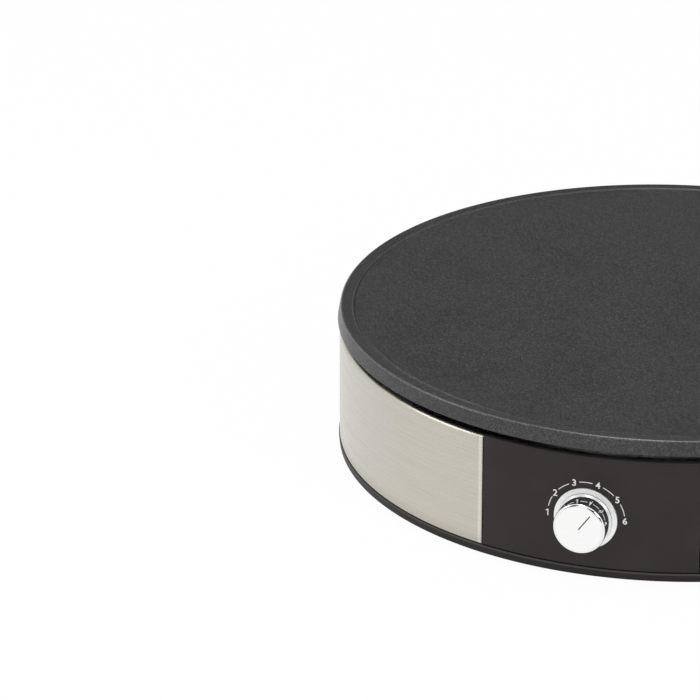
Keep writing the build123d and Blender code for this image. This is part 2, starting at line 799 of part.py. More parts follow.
with BuildPart() as base_tray:
    lip_radius = housing_outer_radius + skin_clearance
    with BuildSketch(Plane.XZ):
        with BuildLine():
            Polyline(
                (0, tray_bottom),
                (tray_foot_radius, tray_bottom),
                (tray_edge_radius, tray_edge_top),
                (lip_radius, tray_edge_top),
                (lip_radius, tray_top),
                (0, tray_top),
                close=True,
            )
        make_face()
    revolve(axis=Axis.Z)
    tray_rings = base_tray.edges().filter_by(GeomType.CIRCLE)
    top_ring = tray_rings.group_by(Axis.Z)[-1].sort_by(SortBy.RADIUS)[-1]
    foot_ring = tray_rings.group_by(Axis.Z)[0].sort_by(SortBy.RADIUS)[-1]
    fillet(top_ring, tray_edge_round)
    fillet(foot_ring, tray_foot_round)

    # ribs on the floor
    for radius in (tray_rib_inner, tray_rib_outer):
        sector(radius, radius + tray_rib_width, tray_top, tray_top + tray_rib_height, 0, 360)
    with BuildSketch(Plane.XY.offset(tray_top)):
        with PolarLocations(0, tray_ribs):
            box_face(
                (tray_rib_inner + root_depth, -tray_rib_width / 2),
                (tray_rib_outer + root_depth, tray_rib_width / 2),
            )
    extrude(amount=tray_rib_height)

    # cooling slots between the ribs
    vent_inner = tray_rib_inner + vent_margin
    vent_outer = tray_rib_outer - vent_margin
    with BuildSketch(Plane.XY.offset(tray_bottom)):
        with PolarLocations((vent_inner + vent_outer) / 2, vent_count, start_angle=180 / vent_count):
            SlotOverall(vent_outer - vent_inner, vent_width)
    extrude(amount=tray_floor, mode=Mode.SUBTRACT)

    # pads, wells and holes for the screws
    disc(pad_radius, tray_top, pad_height, base_screw_centres)
    disc(
        self_tapper_head + screw_well_margin, tray_bottom, screw_well_depth,
        base_screw_centres, Mode.SUBTRACT,
    )
    disc(
        self_tapper_radius + post_hole_margin, tray_bottom, tray_floor + pad_height,
        base_screw_centres, Mode.SUBTRACT,
    )
    # recesses and holes for the feet
    disc(foot_radius + skin_clearance, tray_bottom, foot_recess, foot_centres, Mode.SUBTRACT)
    disc(foot_stem_radius + skin_clearance / 2, tray_bottom, tray_floor, foot_centres, Mode.SUBTRACT)

base_screws = pan_screws(
    Plane.XY.offset(tray_bottom + screw_well_depth), base_screw_centres,
    self_tapper_head, self_tapper_head_height, self_tapper_radius,
    tray_floor + pad_height - screw_well_depth + self_tapper_bite,
)

with BuildPart() as rubber_feet:
    disc(foot_radius, 0, foot_drop + foot_recess, foot_centres)
    sole_edges = rubber_feet.edges().filter_by(GeomType.CIRCLE).group_by(Axis.Z)[0]
    chamfer(sole_edges, foot_edge_chamfer)
    disc(foot_stem_radius, foot_drop + foot_recess, tray_top - foot_drop - foot_recess, foot_centres)
    disc(foot_barb_radius, tray_top, foot_barb_height, foot_centres)


# ---- ring, knob and thermostat ------------------------------------------------------------

knob_face = -body_radius - knob_stand_out
ring_face = -body_radius - ring_stand_out
knob_back = ring_face - knob_gap
knob_inside = knob_face + knob_shell_wall
knob_axis = Axis((0, 0, knob_level), (0, 1, 0))

with BuildPart() as bezel_ring:
    with BuildSketch(Plane.YZ):
        with BuildLine():
            Polyline(
                (ring_seat, knob_level + ring_bore_radius),
                (ring_face, knob_level + ring_bore_radius),
                (ring_face, knob_level + knob_skirt_radius + knob_gap),
                (-body_radius - ring_outer_stand_out, knob_level + ring_radius),
                (ring_seat, knob_level + ring_radius),
                close=True,
            )
        make_face()
    revolve(axis=knob_axis)
    ring_edges = bezel_ring.edges().filter_by(GeomType.CIRCLE)
    fillet(ring_edges.sort_by(SortBy.RADIUS)[-2:].sort_by(Axis.Y)[0], ring_edge_round)

with BuildPart() as knob_shell:
    with BuildSketch(Plane.YZ):
        with BuildLine():
            Polyline(
                (knob_face, knob_level),
                (knob_face, knob_level + knob_radius),
                (knob_back, knob_level + knob_skirt_radius),
                (knob_back, knob_level + knob_skirt_radius - knob_shell_wall),
                (knob_inside, knob_level + knob_radius - knob_shell_wall),
                (knob_inside, knob_level),
                close=True,
            )
        make_face()
    revolve(axis=knob_axis)
    knob_edges = knob_shell.edges().filter_by(GeomType.CIRCLE)
    fillet(knob_edges.sort_by(Axis.Y)[0], knob_edge_round)
    # shallow channel for the pointer
    turn = radians(90 - pointer_angle)
    pointer_middle = (pointer_inner + pointer_outer) / 2
    pointer_place = Location(
        (pointer_middle * cos(turn), knob_level + pointer_middle * sin(turn), 0),
        (0, 0, 90 - pointer_angle),
    )
    with BuildSketch(front_plane(knob_face)) as pointer_section:
        with Locations(pointer_place):
            Rectangle(pointer_outer - pointer_inner, pointer_width)
    extrude(pointer_section.sketch, amount=-pointer_depth, mode=Mode.SUBTRACT)

with BuildPart() as knob_pointer:
    extrude(pointer_section.sketch, amount=-pointer_depth)

with BuildPart() as knob_core:
    core_radius = knob_radius - knob_shell_wall - skin_clearance / 2
    hub_radius = shaft_radius + core_wall
    with BuildSketch(front_plane(knob_back)) as core_section:
        with Locations((0, knob_level)):
            Circle(core_radius)
            Circle(core_radius - core_wall, mode=Mode.SUBTRACT)
            Circle(hub_radius)
            with PolarLocations(0, core_ribs):
                box_face(
                    (hub_radius - root_depth, -core_rib_width / 2),
                    (core_radius - core_wall + root_depth, core_rib_width / 2),
                )
    extrude(core_section.sketch, amount=knob_back - knob_inside)
    bore = d_profile(
        front_plane(knob_back), shaft_radius + thread_clearance,
        shaft_radius - shaft_flat + thread_clearance,
    )
    extrude(bore, amount=shaft_reach + blind_end, mode=Mode.SUBTRACT)

bracket_back = bracket_front + bracket_thickness
axis_point = [Vector(0, 0, knob_level)]

with BuildPart() as thermostat_shaft:
    shaft_root = bracket_back + shaft_depth_in_body
    rounds(front_plane(shaft_root), shaft_radius, shaft_root - knob_back, axis_point)
    extrude(
        d_profile(front_plane(knob_back), shaft_radius, shaft_radius - shaft_flat),
        amount=shaft_reach,
    )

with BuildPart() as thermostat_bush:
    rounds(front_plane(bracket_front), bush_radius, bush_length, axis_point)
    rounds(
        front_plane(bracket_front), shaft_radius + running_clearance, bush_length,
        axis_point, Mode.SUBTRACT,
    )

bracket_screw_centres = [Vector(x, 0, level) for x, level in boss_points]

with BuildPart() as thermostat_bracket:
    with BuildSketch(front_plane(bracket_back)):
        with Locations((0, knob_level)):
            RectangleRounded(bracket_width, bracket_height, thermostat_round)
    extrude(amount=bracket_thickness)
    rounds(
        front_plane(bracket_back), shaft_radius + running_clearance, bracket_thickness,
        axis_point, Mode.SUBTRACT,
    )
    rounds(
        front_plane(bracket_back), bracket_screw_radius + post_hole_margin, bracket_thickness,
        bracket_screw_centres, Mode.SUBTRACT,
    )

bracket_screws = pan_screws(
    front_plane(bracket_back), bracket_screw_centres, bracket_screw_head, bracket_screw_head_height,
    bracket_screw_radius, bracket_thickness + bracket_screw_bite,
)

with BuildPart() as thermostat_body:
    body_back = bracket_back + thermostat_depth
    with BuildSketch(front_plane(body_back)):
        with Locations((0, knob_level)):
            RectangleRounded(thermostat_width, thermostat_height, thermostat_round)
    extrude(amount=thermostat_depth)
    rounds(
        front_plane(bracket_back + shaft_depth_in_body + running_clearance),
        shaft_radius + running_clearance, shaft_depth_in_body + cut_margin, axis_point, Mode.SUBTRACT,
    )

tab_level = knob_level - tab_drop
tab_end = body_back + tab_length

with BuildPart() as thermostat_tabs:
    with BuildSketch(front_plane(body_back)):
        with Locations((-tab_half_span, tab_level), (tab_half_span, tab_level)):
            Rectangle(tab_width, tab_thickness)
    extrude(amount=-tab_length)


# ---- sensor -------------------------------------------------------------------------------

bulb_level = plate_bottom - skin_clearance - bulb_radius
capillary_level = knob_level + tab_drop

with BuildPart() as sensor_bulb:
    with BuildSketch(Plane.YZ.offset(-bulb_length / 2)):
        with Locations((-bulb_offset, bulb_level)):
            Circle(bulb_radius)
    extrude(amount=bulb_length)
    fillet(sensor_bulb.edges().filter_by(GeomType.CIRCLE), bulb_radius * 0.5)

bulb_clip = hanging_strap(
    Plane.YZ, -bulb_offset, plate_bottom, bulb_radius, bulb_clip_half_span, clip_width,
    clip_screw_radius + post_hole_margin,
)
bulb_clip_screws = pan_screws(
    Plane.XY.offset(plate_bottom - clip_thickness), bulb_screw_centres,
    clip_screw_head, clip_screw_head_height, clip_screw_radius, clip_thickness + clip_screw_bite,
)
capillary_tube = tube(
    [
        (bulb_length / 2, -bulb_offset, bulb_level),
        (capillary_drop_x, -bulb_offset, bulb_level),
        (capillary_drop_x, -bulb_offset, capillary_level - capillary_lift),
        (capillary_swing, body_back + capillary_lead * 2, capillary_level),
        (0, body_back + capillary_lead, capillary_level),
        (0, body_back, capillary_level),
    ],
    capillary_radius,
)


# ---- terminal block, fuse, wires and earth ------------------------------------------------

block_top = tray_top + block_height
poles = [-pole_pitch, 0, pole_pitch]
pole_rows = [block_front + block_depth * 0.3, block_front + block_depth * 0.7]
wire_base = tray_top + wire_level

with BuildPart() as terminal_block:
    with BuildSketch(Plane.XY.offset(tray_top)):
        box_face((-block_width / 2, block_front), (block_width / 2, block_front + block_depth))
    extrude(amount=block_height)
    chamfer(terminal_block.edges().group_by(Axis.Z)[-1], 1.0)
    pole_points = [Vector(x, y, 0) for x in poles for y in pole_rows]
    disc(
        pole_screw_radius + thread_clearance, block_top - pole_screw_sink - pole_screw_length,
        pole_screw_sink + pole_screw_length, pole_points, Mode.SUBTRACT,
    )
    rounds(
        front_plane(block_front + wire_insert), pole_hole_radius, wire_insert,
        [Vector(x, 0, wire_base) for x in poles], Mode.SUBTRACT,
    )

with BuildPart() as terminal_screws:
    disc(
        pole_screw_radius, block_top - pole_screw_sink - pole_screw_length, pole_screw_length,
        pole_points,
    )

fuse_level = shield_bottom - skin_clearance - fuse_radius
wire_start = block_front + wire_insert
pin_end = element_end_height - insulator_height - pin_length

with BuildPart() as thermal_fuse:
    rounds(
        front_plane(fuse_start + fuse_length), fuse_radius, fuse_length,
        [Vector(fuse_x, 0, fuse_level)],
    )

fuse_clip = hanging_strap(
    front_plane(fuse_start + fuse_length / 2), fuse_x, shield_bottom, fuse_radius,
    fuse_clip_half_span, clip_width,
)


def laid(way):
    """Hand-laid points of a wire, at their places between the axis and the block."""
    return [(across, share * block_front, wire_base + rise) for across, share, rise in way]


live_wire = tube(
    [
        (poles[0], wire_start, wire_base),
        *laid(live_wire_way),
        (-tab_half_span, tab_end + wire_lead, tab_level),
        (-tab_half_span, tab_end, tab_level),
    ],
    wire_radius,
)
heater_wire = tube(
    [
        (tab_half_span, tab_end, tab_level),
        (tab_half_span, tab_end + wire_lead, tab_level),
        *laid(heater_wire_way),
        (fuse_x, fuse_start, fuse_level),
    ],
    wire_radius,
)
fuse_lead = tube(
    [
        (fuse_x, fuse_start + fuse_length, fuse_level),
        *laid(fuse_lead_way),
        (left_end.X, left_end.Y, pin_end - pin_lead),
        (left_end.X, left_end.Y, pin_end),
    ],
    wire_radius,
)
neutral_wire = tube(
    [
        (poles[1], wire_start, wire_base),
        *laid(neutral_wire_way),
        (right_end.X, right_end.Y, pin_end - pin_lead),
        (right_end.X, right_end.Y, pin_end),
    ],
    wire_radius,
)

lug_level = ledge_top - lug_thickness
barrel_centre = polar(earth_circle + lug_reach, earth_angle, 0)
barrel_end = lug_level - lug_barrel_length

with BuildPart() as earth_lug:
    disc(lug_radius, lug_level, lug_thickness, [earth_centre])
    disc(lug_barrel_radius, barrel_end, lug_barrel_length + lug_thickness, [barrel_centre])
    with BuildSketch(Plane.XY.offset(lug_level)):
        with Locations(Location((0, 0, 0), (0, 0, earth_angle))):
            box_face(
                (earth_circle, -lug_barrel_radius), (earth_circle + lug_reach, lug_barrel_radius)
            )
    extrude(amount=lug_thickness)
    disc(earth_screw_radius + post_hole_margin, lug_level, lug_thickness, [earth_centre], Mode.SUBTRACT)

earth_screw = pan_screws(
    Plane.XY.offset(lug_level), [earth_centre], earth_screw_head, earth_screw_head_height,
    earth_screw_radius, lug_thickness + carrier_thickness,
)
earth_wire = tube(
    [
        (poles[2], wire_start, wire_base),
        *laid(earth_wire_way),
        (barrel_centre.X, barrel_centre.Y, wire_base + earth_rise),
        (barrel_centre.X, barrel_centre.Y, barrel_end),
    ],
    wire_radius,
)


# ---- names and files ----------------------------------------------------------------------

pieces = {
    "hot_plate": hot_plate,
    "heating_element": heating_element,
    "element_insulators": element_insulators,
    "element_pins": element_pins,
    "heat_shield": heat_shield,
    "carrier_ring": carrier_ring,
    "insulating_washers": insulating_washers,
    "plate_spacers": plate_spacers,
    "plate_screws": plate_screws,
    "carrier_screws": carrier_screws,
    "housing_ring": housing_ring,
    "side_band_left": side_band_left,
    "side_band_right": side_band_right,
    "control_panel": control_panel,
    "rear_cover": rear_cover,
    "cord_gland": cord_gland,
    "base_tray": base_tray,
    "base_screws": base_screws,
    "rubber_feet": rubber_feet,
    "bezel_ring": bezel_ring,
    "knob_shell": knob_shell,
    "knob_pointer": knob_pointer,
    "knob_core": knob_core,
    "thermostat_shaft": thermostat_shaft,
    "thermostat_bush": thermostat_bush,
    "thermostat_bracket": thermostat_bracket,
    "bracket_screws": bracket_screws,
    "thermostat_body": thermostat_body,
    "thermostat_tabs": thermostat_tabs,
    "sensor_bulb": sensor_bulb,
    "bulb_clip": bulb_clip,
    "bulb_clip_screws": bulb_clip_screws,
    "capillary_tube": capillary_tube,
    "terminal_block": terminal_block,
    "terminal_screws": terminal_screws,
    "thermal_fuse": thermal_fuse,
    "fuse_clip": fuse_clip,
    "live_wire": live_wire,
    "heater_wire": heater_wire,
    "fuse_lead": fuse_lead,
    "neutral_wire": neutral_wire,
    "earth_lug": earth_lug,
    "earth_screw": earth_screw,
    "earth_wire": earth_wire,
}

os.makedirs("parts", exist_ok=True)
for name, piece in pieces.items():
    piece.part.label = name
    export_step(piece.part, f"parts/{name}.step")
    print(name, len(piece.part.solids()), round(piece.part.volume, 1))
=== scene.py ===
import bmesh
import bpy
import numpy as np
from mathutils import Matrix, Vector


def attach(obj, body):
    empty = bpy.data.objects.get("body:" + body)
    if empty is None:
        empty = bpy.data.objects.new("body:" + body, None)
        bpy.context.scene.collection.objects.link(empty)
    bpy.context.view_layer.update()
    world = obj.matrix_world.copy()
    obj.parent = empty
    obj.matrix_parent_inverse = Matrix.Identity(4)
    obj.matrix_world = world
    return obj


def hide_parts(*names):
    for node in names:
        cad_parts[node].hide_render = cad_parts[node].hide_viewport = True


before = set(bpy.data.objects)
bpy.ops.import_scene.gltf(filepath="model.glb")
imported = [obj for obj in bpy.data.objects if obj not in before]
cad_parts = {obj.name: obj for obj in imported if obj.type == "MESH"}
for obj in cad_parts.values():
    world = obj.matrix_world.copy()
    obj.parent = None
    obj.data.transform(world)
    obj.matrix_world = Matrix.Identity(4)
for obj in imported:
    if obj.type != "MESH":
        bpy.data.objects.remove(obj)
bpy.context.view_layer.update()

# Dressing of the crepe maker: finishes for every piece of the frame, smooth shapes for the six
# large outer pieces, the printed scale round the knob, and a plain pale studio. Lengths are
# metres, in the frame's own axes.

print("frame loaded:", len(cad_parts), "pieces")


# A socket in a node tree. Sums and products add Math nodes, and node() adds anything else.
class Value:
    def __init__(self, tree, socket=None):
        self.tree = tree
        self.socket = socket

    def node(self, kind, settings=None, sockets=None, output=0):
        made = self.tree.nodes.new("ShaderNode" + kind)
        for name, setting in (settings or {}).items():
            setattr(made, name, setting)
        for name, given in (sockets or {}).items():
            if isinstance(given, Value):
                self.tree.links.new(given.socket, made.inputs[name])
            else:
                made.inputs[name].default_value = given
        return Value(self.tree, made.outputs[output]) if len(made.outputs) else None

    def maths(self, operation, *values):
        return self.node("Math", {"operation": operation}, dict(enumerate(values)))

    def __add__(self, other):
        return self.maths("ADD", self, other)

    def __sub__(self, other):
        return self.maths("SUBTRACT", self, other)

    def __rsub__(self, other):
        return self.maths("SUBTRACT", other, self)

    def __mul__(self, other):
        return self.maths("MULTIPLY", self, other)

    def __rmul__(self, other):
        return self.maths("MULTIPLY", other, self)

    def larger(self, other):
        return self.maths("MAXIMUM", self, other)

    def ramp(self, low, high, start=0.0, end=1.0):  # smooth step from start to end
        return self.node(
            "MapRange",
            {"interpolation_type": "SMOOTHSTEP"},
            {"Value": self, "From Min": low, "From Max": high, "To Min": start, "To Max": end},
        )

    def mixed(self, low, high):  # colour between two, by this factor
        return self.node("Mix", {"data_type": "RGBA"}, {0: self, 6: low, 7: high}, 2)

    def part(self, axis):  # one coordinate of a vector
        return self.node("SeparateXYZ", {}, {0: self}, axis)

    def length(self):
        return self.node("VectorMath", {"operation": "LENGTH"}, {0: self}, "Value")

    def stretched(self, scale):  # vector times a vector
        return self.node("VectorMath", {"operation": "MULTIPLY"}, {0: self, 1: scale})

    def noise(self, scale, detail=2.0, roughness=0.5):
        return self.node("TexNoise", {}, {
            "Vector": self.stretched(scale), "Scale": 1.0, "Detail": detail, "Roughness": roughness,
        })

    def cells(self, scale, output="Distance"):
        return self.node("TexVoronoi", {}, {"Vector": self.stretched(scale), "Scale": 1.0}, output)

    def bump(self, depth):  # depth in metres for a height of 1
        return self.node("Bump", {}, {"Height": self, "Distance": depth, "Strength": 1.0}, "Normal")


def rgba(colour):
    return (*colour, 1)


# A new material with an empty tree, and a value to start its nodes from.
def emptyMaterial(name):
    material = bpy.data.materials.new(name)
    material.use_nodes = True
    material.node_tree.nodes.clear()
    return material, Value(material.node_tree)


def makeFinish(name, values, build):
    material, start = emptyMaterial(name)
    place = start.node("TexCoord", output="Object")
    shader = start.node("BsdfPrincipled", {}, build(place, values))
    start.node("OutputMaterial", {}, {"Surface": shader})
    material.diffuse_color = rgba(values["colour"])
    return material


# Most of a noise lies between these. The second pair is a noise's detail and roughness.
noiseSpan = (0.3, 0.7)
fineDetail = (3.0, 0.6)

bandValues = {
    "colour": (0.57, 0.543, 0.482),
    "dark": (0.53, 0.503, 0.445),
    "paintedSeamHighlight": (0.68, 0.655, 0.60),         # painted highlight just inside the seam with the panel
    "stripStart": (0.0536, 0.0541),
    "stripEnd": (0.0550, 0.0557),
    "stripFront": (-0.02, 0.02),          # behind this the bands have no painted highlight
    "foot": (0.86, 0.85, 0.84),           # share of the colour left at the foot: painted shade, darker towards the foot
    "footUp": (0.0072, 0.0140),
    "fineStreak": (26.0, 26.0, 5200.0),   # long round the drum, hair-thin up it
    "fineDetail": (3.0, 0.7),
    "broadStreak": (9.0, 9.0, 900.0),
    "broadDetail": (2.0, 0.6),
    "shares": (0.8, 0.2),                 # of the fine and the broad streaks
    "streakSpan": (0.38, 0.62),
    "roughness": (0.24, 0.34),
    "anisotropy": 0.75,
    "grainTurn": 0.25,                    # the brushing runs round the drum
    "groove": 0.000004,
}


def brushedBand(place, v):
    fine = place.noise(v["fineStreak"], *v["fineDetail"])
    broad = place.noise(v["broadStreak"], *v["broadDetail"])
    streak = v["shares"][0] * fine + v["shares"][1] * broad
    shade = streak.ramp(*v["streakSpan"])
    across = place.maths("ABSOLUTE", place.part("X"))
    height = place.part("Z")
    depth = place.part("Y")
    # painted highlight: a lighter strip just inside the seam with the panel, on the front only
    paintedSeamHighlight = across.ramp(*v["stripStart"]) * (1 - across.ramp(*v["stripEnd"]))
    paintedSeamHighlight = paintedSeamHighlight * (1 - depth.ramp(*v["stripFront"]))
    plain = paintedSeamHighlight.mixed(shade.mixed(rgba(v["dark"]), rgba(v["colour"])), rgba(v["paintedSeamHighlight"]))
    # painted shade: the band is painted darker towards its foot
    paintedFootShade = height.ramp(*v["footUp"]).mixed(rgba(v["foot"]), rgba((1, 1, 1)))
    return {
        "Base Color": place.node("Mix", {"data_type": "RGBA", "blend_type": "MULTIPLY"}, {
            0: 1.0, 6: plain, 7: paintedFootShade,
        }, 2),
        "Metallic": 1.0,
        "Roughness": shade.ramp(0.0, 1.0, v["roughness"][1], v["roughness"][0]),
        "Anisotropic": v["anisotropy"],
        "Anisotropic Rotation": v["grainTurn"],
        "Normal": streak.bump(v["groove"]),
    }


coatValues = {
    "colour": (0.0205, 0.0205, 0.0213),
    "fleck": (0.20, 0.20, 0.205),
    "edgeRadius": (0.1646, 0.1652),  # the rim's outer top edge is painted lighter, a painted highlight, and is smoother
    "edgeLevel": (0.0741, 0.0746),
    "edgeHighlightPaint": 0.28,
    "edgeGrain": (0.3, 0.6, 0.5, 1.0),  # the painted highlight is patchy: half of it fades with the grain
    "edgeRoughness": 0.24,
    "fleckScale": 1500.0,        # two thirds of a millimetre between flecks
    "fleckSize": (0.14, 0.36),
    "fleckChosen": (0.2, 0.7),   # only some cells show their fleck
    "clouds": 24.0,
    "grain": 1000.0,
    "grainSpan": (0.42, 0.72),
    "shares": (0.65, 0.22, 0.02),  # of flecks, grain and clouds in the tone
    "bumpShares": (0.8, 0.2),    # of grain and flecks in the relief
    "roughness": (0.36, 0.42),
    "texture": 0.00006,
}


def sprayedCoat(place, v):
    size = (v["fleckScale"],) * 3
    spot = 1 - place.cells(size).ramp(*v["fleckSize"])
    chosen = place.node("SeparateColor", {}, {"Color": place.cells(size, "Color")}, "Red")
    fleck = spot * chosen.ramp(*v["fleckChosen"])
    cloud = place.noise((v["clouds"],) * 3)
    grain = place.noise((v["grain"],) * 3, *fineDetail)
    radius = place.stretched((1.0, 1.0, 0.0)).length()
    height = place.part("Z")
    edge = radius.ramp(*v["edgeRadius"]) * height.ramp(*v["edgeLevel"])
    ofFleck, ofGrain, ofCloud = v["shares"]
    tone = fleck * ofFleck + grain.ramp(*v["grainSpan"]) * ofGrain + cloud * ofCloud
    # painted highlight along the rim's outer top edge
    tone = tone + edge * v["edgeHighlightPaint"] * grain.ramp(*v["edgeGrain"])
    rough = cloud.ramp(*noiseSpan, *v["roughness"])
    return {
        "Base Color": tone.mixed(rgba(v["colour"]), rgba(v["fleck"])),
        "Roughness": rough + edge * (v["edgeRoughness"] - rough),
        "Normal": (grain * v["bumpShares"][0] + spot * v["bumpShares"][1]).bump(v["texture"]),
    }


# What every moulded finish shares.
mouldingBase = {"wornSpan": (0.3, 0.75), "shares": (0.5, 0.5), "roughSpan": (0.35, 0.65)}

mouldingValues = {
    **mouldingBase,
    "colour": (0.0185, 0.0130, 0.0128),
    "worn": (0.0265, 0.0192, 0.0190),
    "grain": 2800.0,
    "clouds": 45.0,
    "roughness": (0.42, 0.52),
    "texture": 0.00002,
    "specular": 0.3,
    # painted highlight along the upper edge of the panel and cover
    "paintedEdgeHighlight": (0.045, 0.036, 0.035),
    "highlightEdgeUp": (0.0627, 0.0634),
}


def fineMoulding(place, v):
    grain = place.noise((v["grain"],) * 3, *fineDetail)
    cloud = place.noise((v["clouds"],) * 3)
    plain = cloud.ramp(*v["wornSpan"]).mixed(rgba(v["colour"]), rgba(v["worn"]))
    height = place.part("Z")
    if "paintedEdgeHighlight" in v:  # painted highlight: the upper edge is painted lighter
        plain = height.ramp(*v["highlightEdgeUp"]).mixed(plain, rgba(v["paintedEdgeHighlight"]))
    if "shade" in v:  # painted shade: the foot is painted near black, for the deep shade it lies in
        plain = height.ramp(*v["footUp"]).mixed(rgba(v["shade"]), plain)
    mix = v["shares"][0] * grain + v["shares"][1] * cloud
    return {
        "Base Color": plain,
        "Roughness": mix.ramp(*v["roughSpan"], *v["roughness"]),
        "Specular IOR Level": v["specular"],
        "Normal": grain.bump(v["texture"]),
    }


# The tray is the same moulding, darker, with a painted highlight along its upper edge.
trayValues = {
    **mouldingBase,
    "colour": (0.0125, 0.0100, 0.0098), "worn": (0.0185, 0.0155, 0.0150),
    "paintedEdgeHighlight": (0.065, 0.060, 0.058), "highlightEdgeUp": (0.0055, 0.0061),
    # painted shade at the foot
    "shade": (0.002, 0.002, 0.002), "footUp": (0.0026, 0.0032),
    "grain": 2800.0, "clouds": 45.0, "roughness": (0.46, 0.56), "texture": 0.00002,
    "specular": 0.22,
}

# The ledge under the plate is painted near black, a painted shade for the deep shade it lies in.
ledgeShadeValues = {
    **mouldingBase,
    "colour": (0.0040, 0.0040, 0.0042), "worn": (0.0070, 0.0070, 0.0072), "grain": 1800.0,
    "clouds": 60.0, "roughness": (0.7, 0.85), "texture": 0.00002, "specular": 0.1,
}

rubberValues = {
    **mouldingBase,
    "colour": (0.022, 0.022, 0.022), "worn": (0.05, 0.049, 0.047), "grain": 1500.0,
    "clouds": 90.0, "roughness": (0.62, 0.8), "texture": 0.00004, "specular": 0.3,
}

chromeValues = {
    "colour": (0.86, 0.86, 0.865),
    "satinColour": (0.95, 0.95, 0.945),
    "face": -0.1784,             # in front of this, and nearer the axis than the next, it is satin
    "faceRadius": 0.0111,
    "faceBlend": 0.0004,
    "radiusBlend": 0.0002,
    "axisHeight": 0.0322,
    "ringPitch": 5200.0,         # turned rings per metre of radius
    "ringTone": (0.8, 1.0),
    "haze": 220.0,
    "polished": 0.05,
    "polishedSpread": (0.7, 1.3),
    "satin": 0.26,
    "satinSpread": (0.8, 1.2),
    "groove": 0.0000025,
}


def turnedChrome(place, v):
    across = place.part("X")
    depth = place.part("Y")
    height = place.part("Z") - v["axisHeight"]
    radius = place.maths("SQRT", across * across + height * height)
    front = (1 - depth.ramp(v["face"] - v["faceBlend"], v["face"] + v["faceBlend"])) * (
        1 - radius.ramp(v["faceRadius"], v["faceRadius"] + v["radiusBlend"])
    )
    rings = place.node("CombineXYZ", {}, {"X": radius * v["ringPitch"], "Y": 0.0, "Z": 0.0})
    turned = place.node("TexNoise", {}, {"Vector": rings, "Scale": 1.0, "Detail": 2.0})
    haze = place.noise((v["haze"],) * 3)
    smooth = haze.ramp(*noiseSpan, *(v["polished"] * share for share in v["polishedSpread"]))
    satin = turned.ramp(*noiseSpan, *(v["satin"] * share for share in v["satinSpread"]))
    return {
        "Base Color": (front * turned.ramp(*noiseSpan, *v["ringTone"])).mixed(
            rgba(v["colour"]), rgba(v["satinColour"])
        ),
        "Metallic": 1.0,
        "Roughness": smooth + front * (satin - smooth),
        "Normal": (turned * front).bump(v["groove"]),
    }


ringValues = {  # satin all over
    **chromeValues, "satinColour": (0.90, 0.90, 0.905), "face": 0.0, "faceRadius": 1.0,
    "satin": 0.50, "ringPitch": 2400.0,
}

inkValues = {
    "colour": (0.90, 0.90, 0.89), "thin": (0.82, 0.82, 0.81), "grain": 4200.0,
    "coverSpan": (0.35, 0.6), "roughness": (0.45, 0.6),
}


def printedInk(place, v):
    cover = place.noise((v["grain"],) * 3)
    return {
        "Base Color": cover.ramp(*v["coverSpan"]).mixed(rgba(v["thin"]), rgba(v["colour"])),
        "Roughness": cover.ramp(*noiseSpan, *v["roughness"]),
    }


inlayValues = {
    "colour": (0.035, 0.035, 0.036), "worn": (0.06, 0.06, 0.06), "grain": 2400.0,
    "wornSpan": (0.35, 0.7), "roughness": (0.4, 0.55), "texture": 0.00001,
}


def darkInlay(place, v):
    grain = place.noise((v["grain"],) * 3)
    return {
        "Base Color": grain.ramp(*v["wornSpan"]).mixed(rgba(v["colour"]), rgba(v["worn"])),
        "Roughness": grain.ramp(*noiseSpan, *v["roughness"]),
        "Normal": grain.bump(v["texture"]),
    }


# Plated and bare metals: two tones in blotches or drawn streaks, with a fine bump.
platingValues = {
    "zincScrews": {
        "colour": (0.62, 0.62, 0.60), "tint": (0.66, 0.62, 0.50), "blotch": (260.0, 260.0, 260.0),
        "streak": (1800.0, 1800.0, 1800.0), "roughness": (0.24, 0.42), "texture": 0.000008,
    },
    "aluminisedSheet": {
        "colour": (0.68, 0.68, 0.67), "tint": (0.54, 0.54, 0.54), "blotch": (170.0, 170.0, 170.0),
        "streak": (60.0, 2200.0, 900.0), "roughness": (0.34, 0.5), "texture": 0.000006,
    },
    "turnedBrass": {
        "colour": (0.74, 0.58, 0.30), "tint": (0.58, 0.42, 0.20), "blotch": (190.0, 190.0, 190.0),
        "streak": (900.0, 2600.0, 900.0), "roughness": (0.22, 0.4), "texture": 0.000008,
    },
    "drawnCopper": {
        "colour": (0.72, 0.43, 0.29), "tint": (0.46, 0.25, 0.17), "blotch": (120.0, 120.0, 120.0),
        "streak": (140.0, 140.0, 1400.0), "roughness": (0.28, 0.46), "texture": 0.000006,
    },
    "heatedSheath": {
        "colour": (0.27, 0.24, 0.21), "tint": (0.17, 0.16, 0.19), "blotch": (55.0, 55.0, 55.0),
        "streak": (1500.0, 1500.0, 1500.0), "roughness": (0.45, 0.62), "texture": 0.00001,
    },
}
platingShares = (0.7, 0.3)   # of blotches and streaks
platingSpan = (0.36, 0.64)


def platedMetal(place, v):
    blotch = place.noise(v["blotch"], *fineDetail)
    streak = place.noise(v["streak"])
    tone = platingShares[0] * blotch + platingShares[1] * streak
    return {
        "Base Color": tone.ramp(*platingSpan).mixed(rgba(v["colour"]), rgba(v["tint"])),
        "Metallic": 1.0,
        "Roughness": streak.ramp(*noiseSpan, *v["roughness"]),
        "Normal": streak.bump(v["texture"]),
    }


ceramicValues = {
    "colour": (0.80, 0.78, 0.72), "speck": (0.56, 0.52, 0.44), "pores": 1100.0,
    "poreSize": (0.12, 0.3), "clouds": 160.0, "cloudDetail": 3.0, "cloudSpan": (0.35, 0.55),
    "roughness": (0.6, 0.8), "texture": 0.00003,
}


